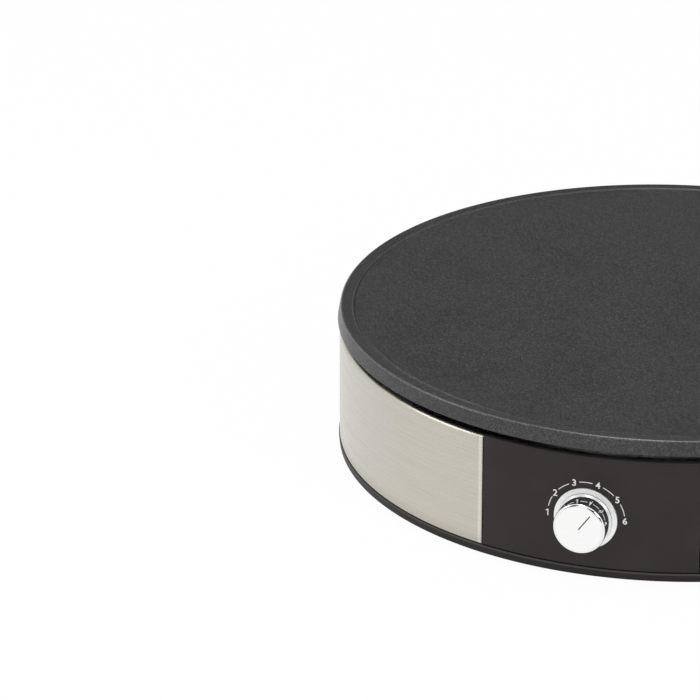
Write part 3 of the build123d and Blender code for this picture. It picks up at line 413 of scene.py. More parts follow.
def unglazedCeramic(place, v):
    pores = place.cells((v["pores"],) * 3).ramp(*v["poreSize"])
    cloud = place.noise((v["clouds"],) * 3, v["cloudDetail"])
    clean = pores * cloud.ramp(*v["cloudSpan"])
    return {
        "Base Color": clean.mixed(rgba(v["speck"]), rgba(v["colour"])),
        "Roughness": cloud.ramp(*noiseSpan, *v["roughness"]),
        "Normal": pores.bump(v["texture"]),
    }


blockValues = {
    "colour": (0.82, 0.81, 0.77), "shade": (0.74, 0.73, 0.68), "grain": 1900.0, "clouds": 120.0,
    "cloudSpan": (0.35, 0.65), "roughness": (0.38, 0.5), "texture": 0.00001,
}


def paleMoulding(place, v):
    grain = place.noise((v["grain"],) * 3)
    cloud = place.noise((v["clouds"],) * 3)
    return {
        "Base Color": cloud.ramp(*v["cloudSpan"]).mixed(rgba(v["shade"]), rgba(v["colour"])),
        "Roughness": grain.ramp(*noiseSpan, *v["roughness"]),
        "Normal": grain.bump(v["texture"]),
    }


sleeveValues = {
    "colour": (0.80, 0.78, 0.72), "shade": (0.50, 0.47, 0.40),
    "thread": 5200.0 / 6.3,      # waves per metre
    "waver": 1.0, "threadSpan": (0.2, 0.9), "roughness": (0.85, 0.7), "texture": 0.00008,
}


def wovenSleeve(place, v):
    def waves(way):
        return place.node("TexWave", {"bands_direction": "DIAGONAL"}, {
            "Vector": way, "Scale": v["thread"], "Distortion": v["waver"],
        }, "Fac")

    thread = waves(place).larger(waves(place.stretched((-1.0, 1.0, 1.0))))
    return {
        "Base Color": thread.ramp(*v["threadSpan"]).mixed(rgba(v["shade"]), rgba(v["colour"])),
        "Roughness": thread.ramp(0.0, 1.0, *v["roughness"]),
        "Normal": thread.bump(v["texture"]),
    }


finishPlans = {
    "brushedBand": (bandValues, brushedBand),
    "sprayedCoat": (coatValues, sprayedCoat),
    "fineMoulding": (mouldingValues, fineMoulding),
    "trayMoulding": (trayValues, fineMoulding),
    "ledgeMoulding": (ledgeShadeValues, fineMoulding),
    "turnedChrome": (chromeValues, turnedChrome),
    "satinRing": (ringValues, turnedChrome),
    "softRubber": (rubberValues, fineMoulding),
    "printedInk": (inkValues, printedInk),
    "darkInlay": (inlayValues, darkInlay),
    "unglazedCeramic": (ceramicValues, unglazedCeramic),
    "paleMoulding": (blockValues, paleMoulding),
    "wovenSleeve": (sleeveValues, wovenSleeve),
    **{name: (values, platedMetal) for name, values in platingValues.items()},
}
finishes = {name: makeFinish(name, *plan) for name, plan in finishPlans.items()}

finishOfSlot = {
    "coated_aluminium": "sprayedCoat",
    "element_sheath": "heatedSheath",
    "ceramic": "unglazedCeramic",
    "steel_screws": "zincScrews",
    "plated_sheet": "aluminisedSheet",
    "black_moulding": "fineMoulding",
    "brushed_band": "brushedBand",
    "rubber": "softRubber",
    "chrome": "turnedChrome",
    "dark_inlay": "darkInlay",
    "brass": "turnedBrass",
    "copper_tube": "drawnCopper",
    "white_moulding": "paleMoulding",
    "wire_sleeve": "wovenSleeve",
}

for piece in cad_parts.values():
    for holder in piece.material_slots:
        holder.material = finishes[finishOfSlot[holder.material.name.split(".")[0]]]
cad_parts["bezel_ring"].material_slots[0].material = finishes["satinRing"]
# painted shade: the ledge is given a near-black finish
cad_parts["housing_ring"].material_slots[0].material = finishes["ledgeMoulding"]
print("finishes given:", len(finishes))


def unit(vector):
    return vector / np.linalg.norm(vector)


# A closed outline with round corners. A corner is (across, up) or (across, up, rounding), and its
# rounding is an arc that meets both sides, with a point a little before and after it.
def softOutline(corners, arcSteps=7, lead=0.00012):
    spots = np.array([corner[:2] for corner in corners], dtype=float)
    share = np.linspace(0, 1, arcSteps + 1)[:, None]
    parts = []
    for index, corner in enumerate(corners):
        spot = spots[index]
        if len(corner) < 3:
            parts.append(spot[None, :])
            continue
        back = unit(spots[index - 1] - spot)
        onward = unit(spots[(index + 1) % len(spots)] - spot)
        half = np.arccos(np.clip(back @ onward, -1, 1)) / 2
        reach = corner[2] / np.tan(half)
        middle = spot + unit(back + onward) * corner[2] / np.sin(half)
        first = spot + back * reach - middle
        last = spot + onward * reach - middle
        turn = np.pi - 2 * half
        arc = middle + (
            np.sin((1 - share) * turn) * first + np.sin(share * turn) * last
        ) / np.sin(turn)
        before, after = spot + back * (reach + lead), spot + onward * (reach + lead)
        parts += [before[None, :], arc, after[None, :]]
    return np.concatenate(parts)


# A point of the drum from its angle, height and radius.
def onDrum(angle, height, radius):
    angle, height, radius = np.broadcast_arrays(angle, height, radius)
    return np.stack([radius * np.cos(angle), radius * np.sin(angle), height], axis=-1)


# Four-cornered faces between neighbours of a grid, joined round where a direction is closed.
def gridFaces(rows, columns, rowsClosed=False, columnsClosed=False, keep=None):
    row, column = np.meshgrid(
        np.arange(rows if rowsClosed else rows - 1),
        np.arange(columns if columnsClosed else columns - 1), indexing="ij",
    )
    nextRow, nextColumn = (row + 1) % rows, (column + 1) % columns
    faces = np.stack([
        row * columns + column, nextRow * columns + column,
        nextRow * columns + nextColumn, row * columns + nextColumn,
    ], axis=2)
    return faces.reshape(-1, 4) if keep is None else faces[keep]


# Every point of a closed outline (radius, height) goes round the drum's axis.
def turnedShell(outline, steps):
    angle = np.linspace(0, 2 * np.pi, steps, endpoint=False)[:, None]
    points = onDrum(angle, outline[None, :, 1], outline[None, :, 0])
    return points.reshape(-1, 3), gridFaces(steps, len(outline), True, True)


# A level outline (around, 2) carried up from one height to another, with a lid at both ends.
def uprightPrism(outline, low, high):
    count = len(outline)
    foot = np.column_stack([outline, np.full(count, low)])
    top = np.column_stack([outline, np.full(count, high)])
    lids = [list(range(count))[::-1], list(range(count, 2 * count))]
    return np.concatenate([foot, top]), gridFaces(2, count, False, True), lids


# Faces of a bar with four corners at each of its steps, and a lid at both ends.
def barFaces(steps):
    last = (steps - 1) * 4
    return gridFaces(steps, 4, False, True), [[0, 1, 2, 3], [last + 3, last + 2, last + 1, last]]


# What level points are multiplied by to turn them round the drum's axis.
def turned(angle):
    return np.array([[np.cos(angle), np.sin(angle)], [-np.sin(angle), np.cos(angle)]])


# A level rectangle along a ray from the drum's axis, carried upwards.
def rayPrism(start, end, width, angle, low, high):
    flat = np.array([[start, -0.5], [end, -0.5], [end, 0.5], [start, 0.5]]) * (1, width)
    return uprightPrism(flat @ turned(angle), low, high)


# A slot along a ray, with half-round ends.
def slotPrism(start, end, width, angle, low, high, endSteps=13):
    half = width / 2
    turn = np.linspace(-np.pi / 2, np.pi / 2, endSteps)
    far = np.column_stack([end - half + half * np.cos(turn), half * np.sin(turn)])
    near = np.column_stack([start + half - half * np.cos(turn), -half * np.sin(turn)])
    return uprightPrism(np.concatenate([far, near]) @ turned(angle), low, high)


def discPrism(radius, centre, low, high, steps=48):
    angle = np.linspace(0, 2 * np.pi, steps, endpoint=False)
    outline = [centre[0] + radius * np.cos(angle), centre[1] + radius * np.sin(angle)]
    return uprightPrism(np.column_stack(outline), low, high)


# The middles of things on a circle round the drum's axis, at angles in degrees.
def placesRound(circle, degrees):
    angle = np.radians(degrees)
    return circle * np.column_stack([np.cos(angle), np.sin(angle)])


def addObject(name, data):
    made = bpy.data.objects.new(name, data)
    bpy.context.scene.collection.objects.link(made)
    return made


# One mesh from shells of (points, faces, more faces). Points within a tiny distance are joined and
# the faces are turned outwards.
def joinShells(name, shells, within=1e-7):
    points, faces, start = [], [], 0
    for shell in shells:
        points.append(shell[0])
        for group in shell[1:]:
            faces += [[int(spot) + start for spot in face] for face in group]
        start += len(shell[0])
    mesh = bpy.data.meshes.new(name)
    mesh.from_pydata(np.concatenate(points).tolist(), [], faces)
    shape = bmesh.new()
    shape.from_mesh(mesh)
    bmesh.ops.remove_doubles(shape, verts=shape.verts, dist=within)
    bmesh.ops.recalc_face_normals(shape, faces=shape.faces)
    shape.to_mesh(mesh)
    shape.free()
    return mesh


# The first mesh with the space of the second taken out of it and the third set beside it.
def cutAway(mesh, cutMesh, extraMesh):
    kept, cutter = addObject(mesh.name, mesh), addObject(cutMesh.name, cutMesh)
    cut = kept.modifiers.new("cut", "BOOLEAN")
    cut.operation, cut.solver, cut.object = "DIFFERENCE", "EXACT", cutter
    graph = bpy.context.evaluated_depsgraph_get()
    result = bpy.data.meshes.new_from_object(kept.evaluated_get(graph))
    shape = bmesh.new()
    shape.from_mesh(result)
    shape.from_mesh(extraMesh)
    shape.to_mesh(result)
    shape.free()
    for holder in (kept, cutter):
        bpy.data.objects.remove(holder)
    for used in (mesh, cutMesh, extraMesh):
        bpy.data.meshes.remove(used)
    return result


# One object from shells that stands for a piece of the frame, less the shells to be cut away.
# Edges sharper than the angle stay sharp.
def makePiece(
    name, shells, finish, body, replaced, thickness=0.0, cuts=(), extra=(), sharp=32,
):
    mesh = joinShells(name, shells)
    if cuts:  # the extra shells are added after the cut
        mesh = cutAway(mesh, joinShells(name + "Cuts", cuts), joinShells(name + "Extra", extra))
    mesh.polygons.foreach_set("use_smooth", np.full(len(mesh.polygons), True))
    mesh.set_sharp_from_angle(angle=np.radians(sharp))
    mesh.materials.append(finishes[finish])
    made = addObject(name, mesh)
    if thickness:
        wall = made.modifiers.new("wall", "SOLIDIFY")
        wall.thickness = thickness
        wall.offset = -1
    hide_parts(*replaced)
    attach(made, body)
    print("made", name, len(mesh.polygons), "faces")


plateValues = {
    "topRadius": 0.1658, "footRadius": 0.16715, "top": 0.0751, "foot": 0.0677,
    "edgeRound": 0.0013, "footRound": 0.0003,
    "lipInner": 0.1598, "lipFall": 0.0002, "lipRound": 0.0002, "lipLead": 0.0004,
    "cookLevel": 0.0746, "grooveWidth": 0.0016, "grooveDepth": 0.0008,
    "bossRadius": 0.105, "bossWidth": 0.015, "bossLevel": 0.0627, "bossRound": 0.0005,
    "channel": 0.0034,
    "ribStart": 0.022, "ribWidth": 0.003, "ribDepth": 0.0016, "ribRound": 0.0003, "ribs": 8,
    "postAngles": (45, 135, 225, 315), "postCircle": 0.140, "postRadius": 0.007,
    "postHole": 0.00255, "postLevel": 0.0647,
    "sunk": 0.0002,              # how far ribs and bosses reach into the plate
    "steps": 480, "postSteps": 48, "grooveSteps": 11, "channelSteps": 17,
    "middleShare": 0.5,          # of the lip's radius, where the cooking face has one more ring
}


# A nearly level lip ends in a narrow groove, whose floor is a parabola between the two levels.
def makePlate(v):
    grooveTop = v["top"] - v["lipFall"]
    share = np.linspace(0, 1, v["grooveSteps"])[1:]
    bowl = np.column_stack([
        v["lipInner"] - v["grooveWidth"] * share,
        grooveTop + (v["cookLevel"] - grooveTop) * share
        - 4 * share * (1 - share) * v["grooveDepth"],
    ])
    turn = np.linspace(0, np.pi, v["channelSteps"])
    channel = np.column_stack([
        v["bossRadius"] + v["channel"] * np.cos(turn), v["bossLevel"] + v["channel"] * np.sin(turn)
    ])
    half, sunk, ribFoot = v["bossWidth"] / 2, v["sunk"], v["foot"] - v["ribDepth"]
    ribEnd = v["ribStart"] + v["ribWidth"]
    outline = softOutline([
        (0, v["cookLevel"]), (0, v["foot"]),
        (v["ribStart"], v["foot"]), (v["ribStart"], ribFoot, v["ribRound"]),
        (ribEnd, ribFoot, v["ribRound"]), (ribEnd, v["foot"]),
        (v["bossRadius"] - half, v["foot"]),
        (v["bossRadius"] - half, v["bossLevel"], v["bossRound"]),
        *channel[::-1],
        (v["bossRadius"] + half, v["bossLevel"], v["bossRound"]),
        (v["bossRadius"] + half, v["foot"]),
        (v["footRadius"], v["foot"], v["footRound"]),
        (v["topRadius"], v["top"], v["edgeRound"]),
        (v["lipInner"] + v["lipLead"], grooveTop, v["lipRound"]),
        *bowl, (v["lipInner"] * v["middleShare"], v["cookLevel"]),
    ])
    shells = [turnedShell(outline, v["steps"])]
    for index in range(v["ribs"]):  # ribs from the middle ring to the boss
        turn = (index + 0.5) * 2 * np.pi / v["ribs"]
        shells.append(rayPrism(
            ribEnd - sunk, v["bossRadius"] - half + sunk, v["ribWidth"], turn, ribFoot,
            v["foot"] + sunk,
        ))
    points, faces = turnedShell(softOutline([  # a hollow boss for each post
        (v["postHole"], v["foot"] + sunk), (v["postHole"], v["postLevel"], v["ribRound"]),
        (v["postRadius"], v["postLevel"], v["bossRound"]), (v["postRadius"], v["foot"] + sunk),
    ]), v["postSteps"])
    for centre in placesRound(v["postCircle"], v["postAngles"]):
        shells.append((points + (*centre, 0), faces))
    makePiece(
        "castPlate", shells, "sprayedCoat", "appliance", ("hot_plate",)
    )


trayShape = {
    "edge": 0.1667, "lip": 0.1654, "bottom": 0.0012, "floorTop": 0.0037, "edgeTop": 0.0065,
    "edgeRound": 0.0006, "turnRadius": 0.1663, "turnLevel": 0.0024, "turnRound": 0.0008,
    "foot": 0.1623, "footRound": 0.0010,
    "ribWidth": 0.002, "ribHeight": 0.003, "ribInner": 0.040, "ribOuter": 0.110, "ribs": 8,
    "vents": 16, "ventInner": 0.058, "ventOuter": 0.092, "ventWidth": 0.004,
    "feetAngles": (45, 135, 225, 315), "feetCircle": 0.132,
    "footSeat": 0.0083, "footSeatDepth": 0.001, "stemHole": 0.00275,
    "screwAngles": (60, 120, 240, 300), "screwCircle": 0.1573, "screwHole": 0.002,
    "padRadius": 0.0046, "padHeight": 0.003, "well": 0.0036, "wellDepth": 0.003,
    "wellGap": 0.00002,          # between a pad and the hole cut for it
    "sunk": 0.0002, "cutBeyond": 0.001,
    "steps": 480, "padSteps": 48,
}


# A turned floor with its edge and two round ribs. Vents, seats and wells are cut out of it, and
# straight ribs and a pad round each screw are set beside it.
def makeTray(v):
    ribTop, sunk = v["floorTop"] + v["ribHeight"], v["sunk"]
    outline = softOutline([
        (0, v["bottom"]), (v["foot"], v["bottom"], v["footRound"]),
        (v["turnRadius"], v["turnLevel"], v["turnRound"]),
        (v["edge"], v["edgeTop"], v["edgeRound"]),
        (v["lip"], v["edgeTop"]), (v["lip"], v["floorTop"]),
        (v["ribOuter"] + v["ribWidth"], v["floorTop"]), (v["ribOuter"] + v["ribWidth"], ribTop),
        (v["ribOuter"], ribTop), (v["ribOuter"], v["floorTop"]),
        (v["ribInner"] + v["ribWidth"], v["floorTop"]), (v["ribInner"] + v["ribWidth"], ribTop),
        (v["ribInner"], ribTop), (v["ribInner"], v["floorTop"]), (0, v["floorTop"]),
    ])
    below, above = v["bottom"] - v["cutBeyond"], v["floorTop"] + v["cutBeyond"]
    cuts = [
        slotPrism(
            v["ventInner"], v["ventOuter"], v["ventWidth"],
            (index + 0.5) * 2 * np.pi / v["vents"], below, above,
        )
        for index in range(v["vents"])
    ]
    for centre in placesRound(v["feetCircle"], v["feetAngles"]):
        cuts.append(discPrism(v["footSeat"], centre, below, v["bottom"] + v["footSeatDepth"]))
        cuts.append(discPrism(v["stemHole"], centre, below, above))
    extra = [
        rayPrism(
            v["ribInner"] + v["ribWidth"] - sunk, v["ribOuter"] + sunk, v["ribWidth"],
            index * 2 * np.pi / v["ribs"], v["floorTop"] - sunk, ribTop,
        )
        for index in range(v["ribs"])
    ]
    wellTop, padTop = v["bottom"] + v["wellDepth"], v["floorTop"] + v["padHeight"]
    points, faces = turnedShell(softOutline([
        (v["screwHole"], wellTop), (v["well"], wellTop),
        (v["well"], v["floorTop"] - sunk), (v["padRadius"], v["floorTop"] - sunk),
        (v["padRadius"], padTop), (v["screwHole"], padTop),
    ]), v["padSteps"])
    for centre in placesRound(v["screwCircle"], v["screwAngles"]):
        cuts.append(discPrism(v["well"] + v["wellGap"], centre, below, above))
        extra.append((points + (*centre, 0), faces))
    makePiece(
        "baseTray", [turnedShell(outline, v["steps"])], "trayMoulding", "appliance",
        ("base_tray",), cuts=cuts, extra=extra,
    )


bandShape = {
    "radius": 0.1662, "low": 0.0070, "high": 0.0637,
    "endRound": 0.0006, "footRound": 0.0004, "topRound": 0.0025,
    "topFlange": 0.0043, "endFlange": 0.0028, "footFlange": 0.0008,
    "seam": 0.0004, "sheet": 0.00038,
    "lead": 0.00015,             # from a rounded edge to the next point of the face
    "flangeStep": 0.0006, "angleStep": 0.5, "roundSteps": 8, "upSteps": 9,
}


# The course across a band from one edge to the other: a turned-in flange, a rounded edge, the plain
# face, a rounded edge, a flange. Gives places along the face and insets from the drum's radius.
def bandCourse(length, rounding, flange, endRounding, endFlange, count, v):
    lead, step = v["lead"], v["flangeStep"]
    turn = np.linspace(np.pi / 2, 0, v["roundSteps"])

    def flangeInsets(deep, shallow):  # a hundredth of a step more keeps the last one
        return np.arange(shallow, deep + step * 0.01, step)[:0:-1]

    first = flangeInsets(flange, rounding)
    last = flangeInsets(endFlange, endRounding)[::-1]
    face = np.linspace(rounding + lead, length - endRounding - lead, count)
    along = np.concatenate([
        np.zeros(len(first)), rounding * (1 - np.sin(turn)), face,
        length - endRounding * (1 - np.sin(turn[::-1])), np.full(len(last), length),
    ])
    inset = np.concatenate([
        first, rounding * (1 - np.cos(turn)), np.zeros(count),
        endRounding * (1 - np.cos(turn[::-1])), last,
    ])
    beyond = np.concatenate([
        np.ones(len(first), bool), np.zeros(len(along) - len(first) - len(last) - 1, bool),
        np.ones(len(last), bool),
    ])
    return along, inset, beyond


# One course goes round the drum and one up it. The inset of a point is the larger of the two, and
# the corners where both are flange stay open.
def makeBand(name, start, end, v, replaced):
    start = np.radians(start) + v["seam"] / 2 / v["radius"]
    end = np.radians(end) - v["seam"] / 2 / v["radius"]
    around, aroundInset, aroundBeyond = bandCourse(
        (end - start) * v["radius"], v["endRound"], v["endFlange"], v["endRound"], v["endFlange"],
        int(np.degrees(end - start) / v["angleStep"]), v,
    )
    up, upInset, upBeyond = bandCourse(
        v["high"] - v["low"], v["footRound"], v["footFlange"], v["topRound"], v["topFlange"],
        v["upSteps"], v,
    )
    inset = np.maximum(aroundInset[:, None], upInset[None, :])
    points = onDrum(
        (start + around / v["radius"])[:, None], (v["low"] + up)[None, :], v["radius"] - inset
    )
    keep = ~(aroundBeyond[:, None] & upBeyond[None, :])
    faces = gridFaces(len(around), len(up), keep=keep)
    makePiece(
        name, [(points.reshape(-1, 3), faces)], "brushedBand", "appliance",
        (replaced,), thickness=v["sheet"],
    )


coverValues = {
    "outer": 0.1662, "inner": 0.1630, "low": 0.0070, "high": 0.0637,
    "topRound": 0.0012, "sideRound": 0.0005, "seam": 0.0004, "seatPlane": 0.1652,
    # places along a side: close together near its ends, even between
    "nearEdge": (0, 0.0002, 0.0004, 0.0006, 0.0009, 0.0012, 0.0016, 0.0024), "evenFrom": 0.004,
    "acrossSteps": 44, "upSteps": 26,
    "lead": 0.00015, "roundSteps": 9, "faceSteps": 13, "backSteps": 9,
}
panelValues = {
    **coverValues, "halves": (18.65, 18.8), "seatHeight": 0.0322, "seatRadius": 0.0157,
    "hole": 0.0053,
}
rearValues = {
    **coverValues, "halves": (15.0, 15.0), "seatHeight": 0.0200, "seatRadius": 0.0093,
    "hole": 0.0063,
}


# How far a rounded edge falls back from the face, at a distance from the edge.
def fallBack(distance, rounding):
    inward = rounding - np.clip(distance, 0, rounding)
    return rounding - np.sqrt(rounding**2 - inward**2)


# The moulding is one closed loop of rings. The first rings are rectangles that step round the edge,
# the next ones turn from a rectangle into the circle of the seat, then come the seat's wall and
# floor, the hole, the back of the wall, and the sides close it.
def makeCover(name, middle, v, replaced):
    before, after = np.radians(v["halves"]) - v["seam"] / 2 / v["outer"]
    near = np.array(v["nearEdge"])

    def sidePlaces(length, count):
        inner = np.linspace(v["evenFrom"], length - v["evenFrom"], count)
        return np.concatenate([near, inner, length - near[:0:-1]]) / length

    across = sidePlaces((before + after) * v["outer"], v["acrossSteps"])
    upward = sidePlaces(v["high"] - v["low"], v["upSteps"])
    corner = np.concatenate([
        np.column_stack([across, np.zeros(len(across))]),
        np.column_stack([np.ones(len(upward)), upward]),
        np.column_stack([1 - across, np.ones(len(across))]),
        np.column_stack([np.zeros(len(upward)), 1 - upward]),
    ])

    def rectangle(side, top):
        left, right = side / v["outer"] - before, after - side / v["outer"]
        low, high = v["low"] + side, v["high"] - top
        return left + (right - left) * corner[:, 0], low + (high - low) * corner[:, 1]

    def outerFace(angle, height):
        ends = np.minimum(before + angle, after - angle) * v["outer"]
        fall = np.maximum(
            fallBack(np.minimum(ends, height - v["low"]), v["sideRound"]),
            fallBack(v["high"] - height, v["topRound"]),
        )
        return onDrum(middle + angle, height, v["outer"] - fall)

    rings = []
    for turn in np.linspace(np.pi / 2, 0, v["roundSteps"]):
        rings.append(outerFace(*rectangle(
            v["sideRound"] * (1 - np.sin(turn)), v["topRound"] * (1 - np.sin(turn))
        )))
    angle, height = rectangle(v["sideRound"] + v["lead"], v["topRound"] + v["lead"])
    way = np.arctan2(height - v["seatHeight"], angle * v["outer"])
    seatX, seatZ = v["seatRadius"] * np.cos(way), v["seatHeight"] + v["seatRadius"] * np.sin(way)
    seatAngle = np.arcsin(seatX / v["outer"])
    for share in np.linspace(0, 1, v["faceSteps"]):
        rings.append(outerFace(
            angle + (seatAngle - angle) * share, height + (seatZ - height) * share
        ))
    floorAngle = np.arctan(seatX / v["seatPlane"])
    rings.append(onDrum(middle + floorAngle, seatZ, v["seatPlane"] / np.cos(floorAngle)))
    holeX, holeZ = v["hole"] * np.cos(way), v["seatHeight"] + v["hole"] * np.sin(way)
    holeAngle = np.arctan(holeX / v["seatPlane"])
    rings.append(onDrum(middle + holeAngle, holeZ, v["seatPlane"] / np.cos(holeAngle)))
    backAngle = np.arcsin(holeX / v["inner"])
    edgeAngle, edgeHeight = rectangle(0.0, 0.0)
    for share in np.linspace(0, 1, v["backSteps"]):
        rings.append(onDrum(
            middle + backAngle + (edgeAngle - backAngle) * share,
            holeZ + (edgeHeight - holeZ) * share, v["inner"],
        ))
    points = np.stack(rings)
    faces = gridFaces(len(rings), len(corner), True, True)
    shells = [(points.reshape(-1, 3), faces)] + hookShells(middle - before, middle + after, v)
    makePiece(name, shells, "fineMoulding", "appliance", (replaced,))


# A block of the drum's wall between two angles: its four corners go round in small steps.
def curvedBlock(inner, outer, low, high, start, end, steps=9):
    angle = np.linspace(start, end, steps)[:, None]
    height = np.array([low, low, high, high])[None, :]
    radius = np.array([inner, outer, outer, inner])[None, :]
    return onDrum(angle, height, radius).reshape(-1, 3), *barFaces(steps)


hookValues = {
    "root": 0.005, "reach": 0.007, "outer": 0.1623, "inner": 0.1603, "height": 0.009,
    "levels": (0.0250, 0.0462), "sunk": 0.0001,
}


# Two snap hooks at each side of a cover. A hook is a block behind the wall, and a tongue beyond it.
def hookShells(startAngle, endAngle, v):
    h = hookValues
    shells = []
    for low in h["levels"]:
        for side, end in ((-1, startAngle), (1, endAngle)):
            root = end - side * h["root"] / v["inner"]
            tip = end + side * h["reach"] / v["inner"]
            high = low + h["height"]
            shells.append(curvedBlock(h["inner"], v["inner"] + h["sunk"], low, high, root, end))
            shells.append(curvedBlock(h["inner"], h["outer"], low, high, end, tip))
    return shells


makePlate(plateValues)
makeTray(trayShape)
panelStart, panelEnd = -90 - panelValues["halves"][0], -90 + panelValues["halves"][1]
coverStart, coverEnd = 90 - rearValues["halves"][0], 90 + rearValues["halves"][1]
makeBand("bandRight", panelEnd, coverStart, bandShape, "side_band_right")
makeBand("bandLeft", coverEnd, 360 + panelStart, bandShape, "side_band_left")
makeCover("frontPanel", -np.pi / 2, panelValues, "control_panel")
makeCover("backCover", np.pi / 2, rearValues, "rear_cover")
print("smooth pieces made")


scaleValues = {
    "panelRadius": 0.1662,
    "axisHeight": 0.0322,
    "circle": 0.0188,            # from the knob's axis to the middle of the numbers
    "numbers": 6,
    "squash": 0.98,              # the circle is a little flat
    "firstAngle": 180.0,         # the 1 stands at nine o'clock
    "stepAngle": -35.7,
    "numberHeight": 0.0034,
    "weight": 0.018,             # of the letter's size, added to its outline
    "arcWidth": 0.00038,
    "firstGap": 2.5,             # degrees more above the 1
    "arcGap": 8.0,               # degrees from a number's middle to the arc beside it
    "arcSteps": 17,
    "curveSteps": 6,
    "sunk": 0.00004,
    "proud": 0.00003,
}


# A flat layout (across, up, out) laid on the panel: across becomes an angle round the drum from
# the front, up becomes the height, and out is added to the radius.
def laidOnPanel(flat, v):
    turn = flat[:, 0] / v["panelRadius"] - np.pi / 2
    reach = v["panelRadius"] + flat[:, 2]
    height = v["axisHeight"] + flat[:, 1] * v["squash"]
    return np.stack([reach * np.cos(turn), reach * np.sin(turn), height], axis=1)


# The one is drawn from listed points: a bar with a flag.
def figureOne(v):
    outline = np.array([
        (0.10, -0.5), (0.10, 0.5), (-0.05, 0.5),
        (-0.30, 0.32), (-0.30, 0.17), (-0.06, 0.32), (-0.06, -0.5),
    ]) * v["numberHeight"]
    points, sides, lids = uprightPrism(outline, -v["sunk"], v["proud"])
    return points, sides.tolist() + lids


def printShape(name, points, faces, body):
    mesh = bpy.data.meshes.new(name)
    mesh.from_pydata(points.tolist(), [], faces)
    mesh.materials.append(finishes["printedInk"])
    made = addObject(name, mesh)
    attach(made, body)


def numberShape(character, v):
    words = bpy.data.curves.new("number" + character, "FONT")
    words.body = character
    words.offset = v["weight"]
    words.resolution_u = v["curveSteps"]
    words.extrude = 0.5  # any depth will do, as the two faces are set below
    holder = bpy.data.objects.new("number" + character, words)
    mesh = bpy.data.meshes.new_from_object(holder)
    flat = np.empty(len(mesh.vertices) * 3)
    mesh.vertices.foreach_get("co", flat)
    flat = flat.reshape(-1, 3)
    faces = [list(face.vertices) for face in mesh.polygons]
    bpy.data.meshes.remove(mesh)
    bpy.data.objects.remove(holder)
    bpy.data.curves.remove(words)
    low, high = flat.min(axis=0), flat.max(axis=0)
    middle, scale = (low[:2] + high[:2]) / 2, v["numberHeight"]
    flat[:, :2] = (flat[:, :2] - middle) * scale / (high[1] - low[1])
    flat[:, 2] = np.where(flat[:, 2] > 0, v["proud"], -v["sunk"])
    return flat, faces


def makeNumbers(v):
    for index in range(v["numbers"]):
        angle = np.radians(v["firstAngle"] + index * v["stepAngle"])
        flat, faces = numberShape(str(index + 1), v) if index else figureOne(v)
        flat[:, 0] += v["circle"] * np.cos(angle)
        flat[:, 1] += v["circle"] * np.sin(angle)
        points = laidOnPanel(flat, v)
        printShape("scaleNumber" + str(index + 1), points, faces, "appliance")


# An arc piece is a rectangle carried round the scale's circle: at each angle four corners, inner
# and outer, sunk and proud, joined to the next angle's four, with a cap at both ends.
def makeArcs(v):
    steps = v["arcSteps"]
    sides, lids = barFaces(steps)
    for index in range(v["numbers"] - 1):
        middle = v["firstAngle"] + (index + 0.5) * v["stepAngle"]
        half = abs(v["stepAngle"]) / 2 - v["arcGap"]
        first = middle + half - (0 if index else v["firstGap"])
        angle = np.radians(np.linspace(middle - half, first, steps))[:, None]
        radius = v["circle"] + np.array([-0.5, 0.5, 0.5, -0.5]) * v["arcWidth"]
        level = np.array([-v["sunk"], -v["sunk"], v["proud"], v["proud"]])
        points = laidOnPanel(onDrum(angle, level, radius).reshape(-1, 3), v)
        faces = sides.tolist() + lids
        printShape("scaleArc" + str(index + 1), points, faces, "appliance")


makeNumbers(scaleValues)
makeArcs(scaleValues)
print("scale printed")


cameraValues = {
    "place": (0.4727, -2.0267, 0.9435),
    "aim": (-0.2772, 0.8756, -0.3955),
    "lens": 231.8,
    "sensor": 36.0,
    "farthest": 20.0,
}


# The turn that points a camera or a lamp along a direction.
def facing(direction):
    return direction.to_track_quat("-Z", "Y").to_euler()


def makeCamera(v):
    data = bpy.data.cameras.new("mainCamera")
    data.lens = v["lens"]
    data.sensor_width = v["sensor"]
    data.clip_end = v["farthest"]
    camera = addObject("mainCamera", data)
    camera.location = v["place"]
    camera.rotation_euler = facing(Vector(v["aim"]))
    bpy.context.scene.camera = camera


lampValues = {
    "overheadLamp": {
        "place": (-0.15, -0.15, 1.6), "aim": (0, 0, 0.07), "size": (0.6, 0.3), "power": 7.5,
    },
    "rightLamp": {
        "place": (1.15, -0.9, 0.85), "aim": (0, -0.1, 0.05), "size": (0.5, 0.5), "power": 6.0,
    },
    "leftLamp": {
        "place": (-1.23, -0.45, 0.97), "aim": (0, 0, 0.05), "size": (0.5, 0.5), "power": 2.8,
    },
}


def makeLamp(name, v):
    data = bpy.data.lights.new(name, "AREA")
    data.shape = "RECTANGLE"
    data.size, data.size_y = v["size"]
    data.energy = v["power"]
    lamp = addObject(name, data)
    lamp.location = v["place"]
    lamp.rotation_euler = facing(Vector(v["aim"]) - Vector(v["place"]))
    lamp.visible_camera = False


# Matt black cards that only reflections see, so that round edges have something dark to mirror.
cardShape = {"reach": 3.2, "steps": 9, "colour": (0.02, 0.02, 0.02)}
cardValues = {
    "leftCard": {"azimuth": (213.0, 249.0), "elevation": (16.0, 58.0)},
    "rightCard": {"azimuth": (-80.0, -20.0), "elevation": (4.0, 50.0)},
    "backCard": {"azimuth": (60.0, 140.0), "elevation": (11.0, 50.0)},
}

studioValues = {
    "level": 0.62,               # of the world on the object
    "paper": (0.82, 0.82, 0.82),
    "whiteness": 0.97,           # how far the floor shows plain white
    "underObject": (0.1584, 0.1600),  # inside this radius the floor is only lit
    "inner": 0.158,              # the floor starts under the tray
    "outer": 9.0,
    "rings": 24,
    "spokes": 96,
}


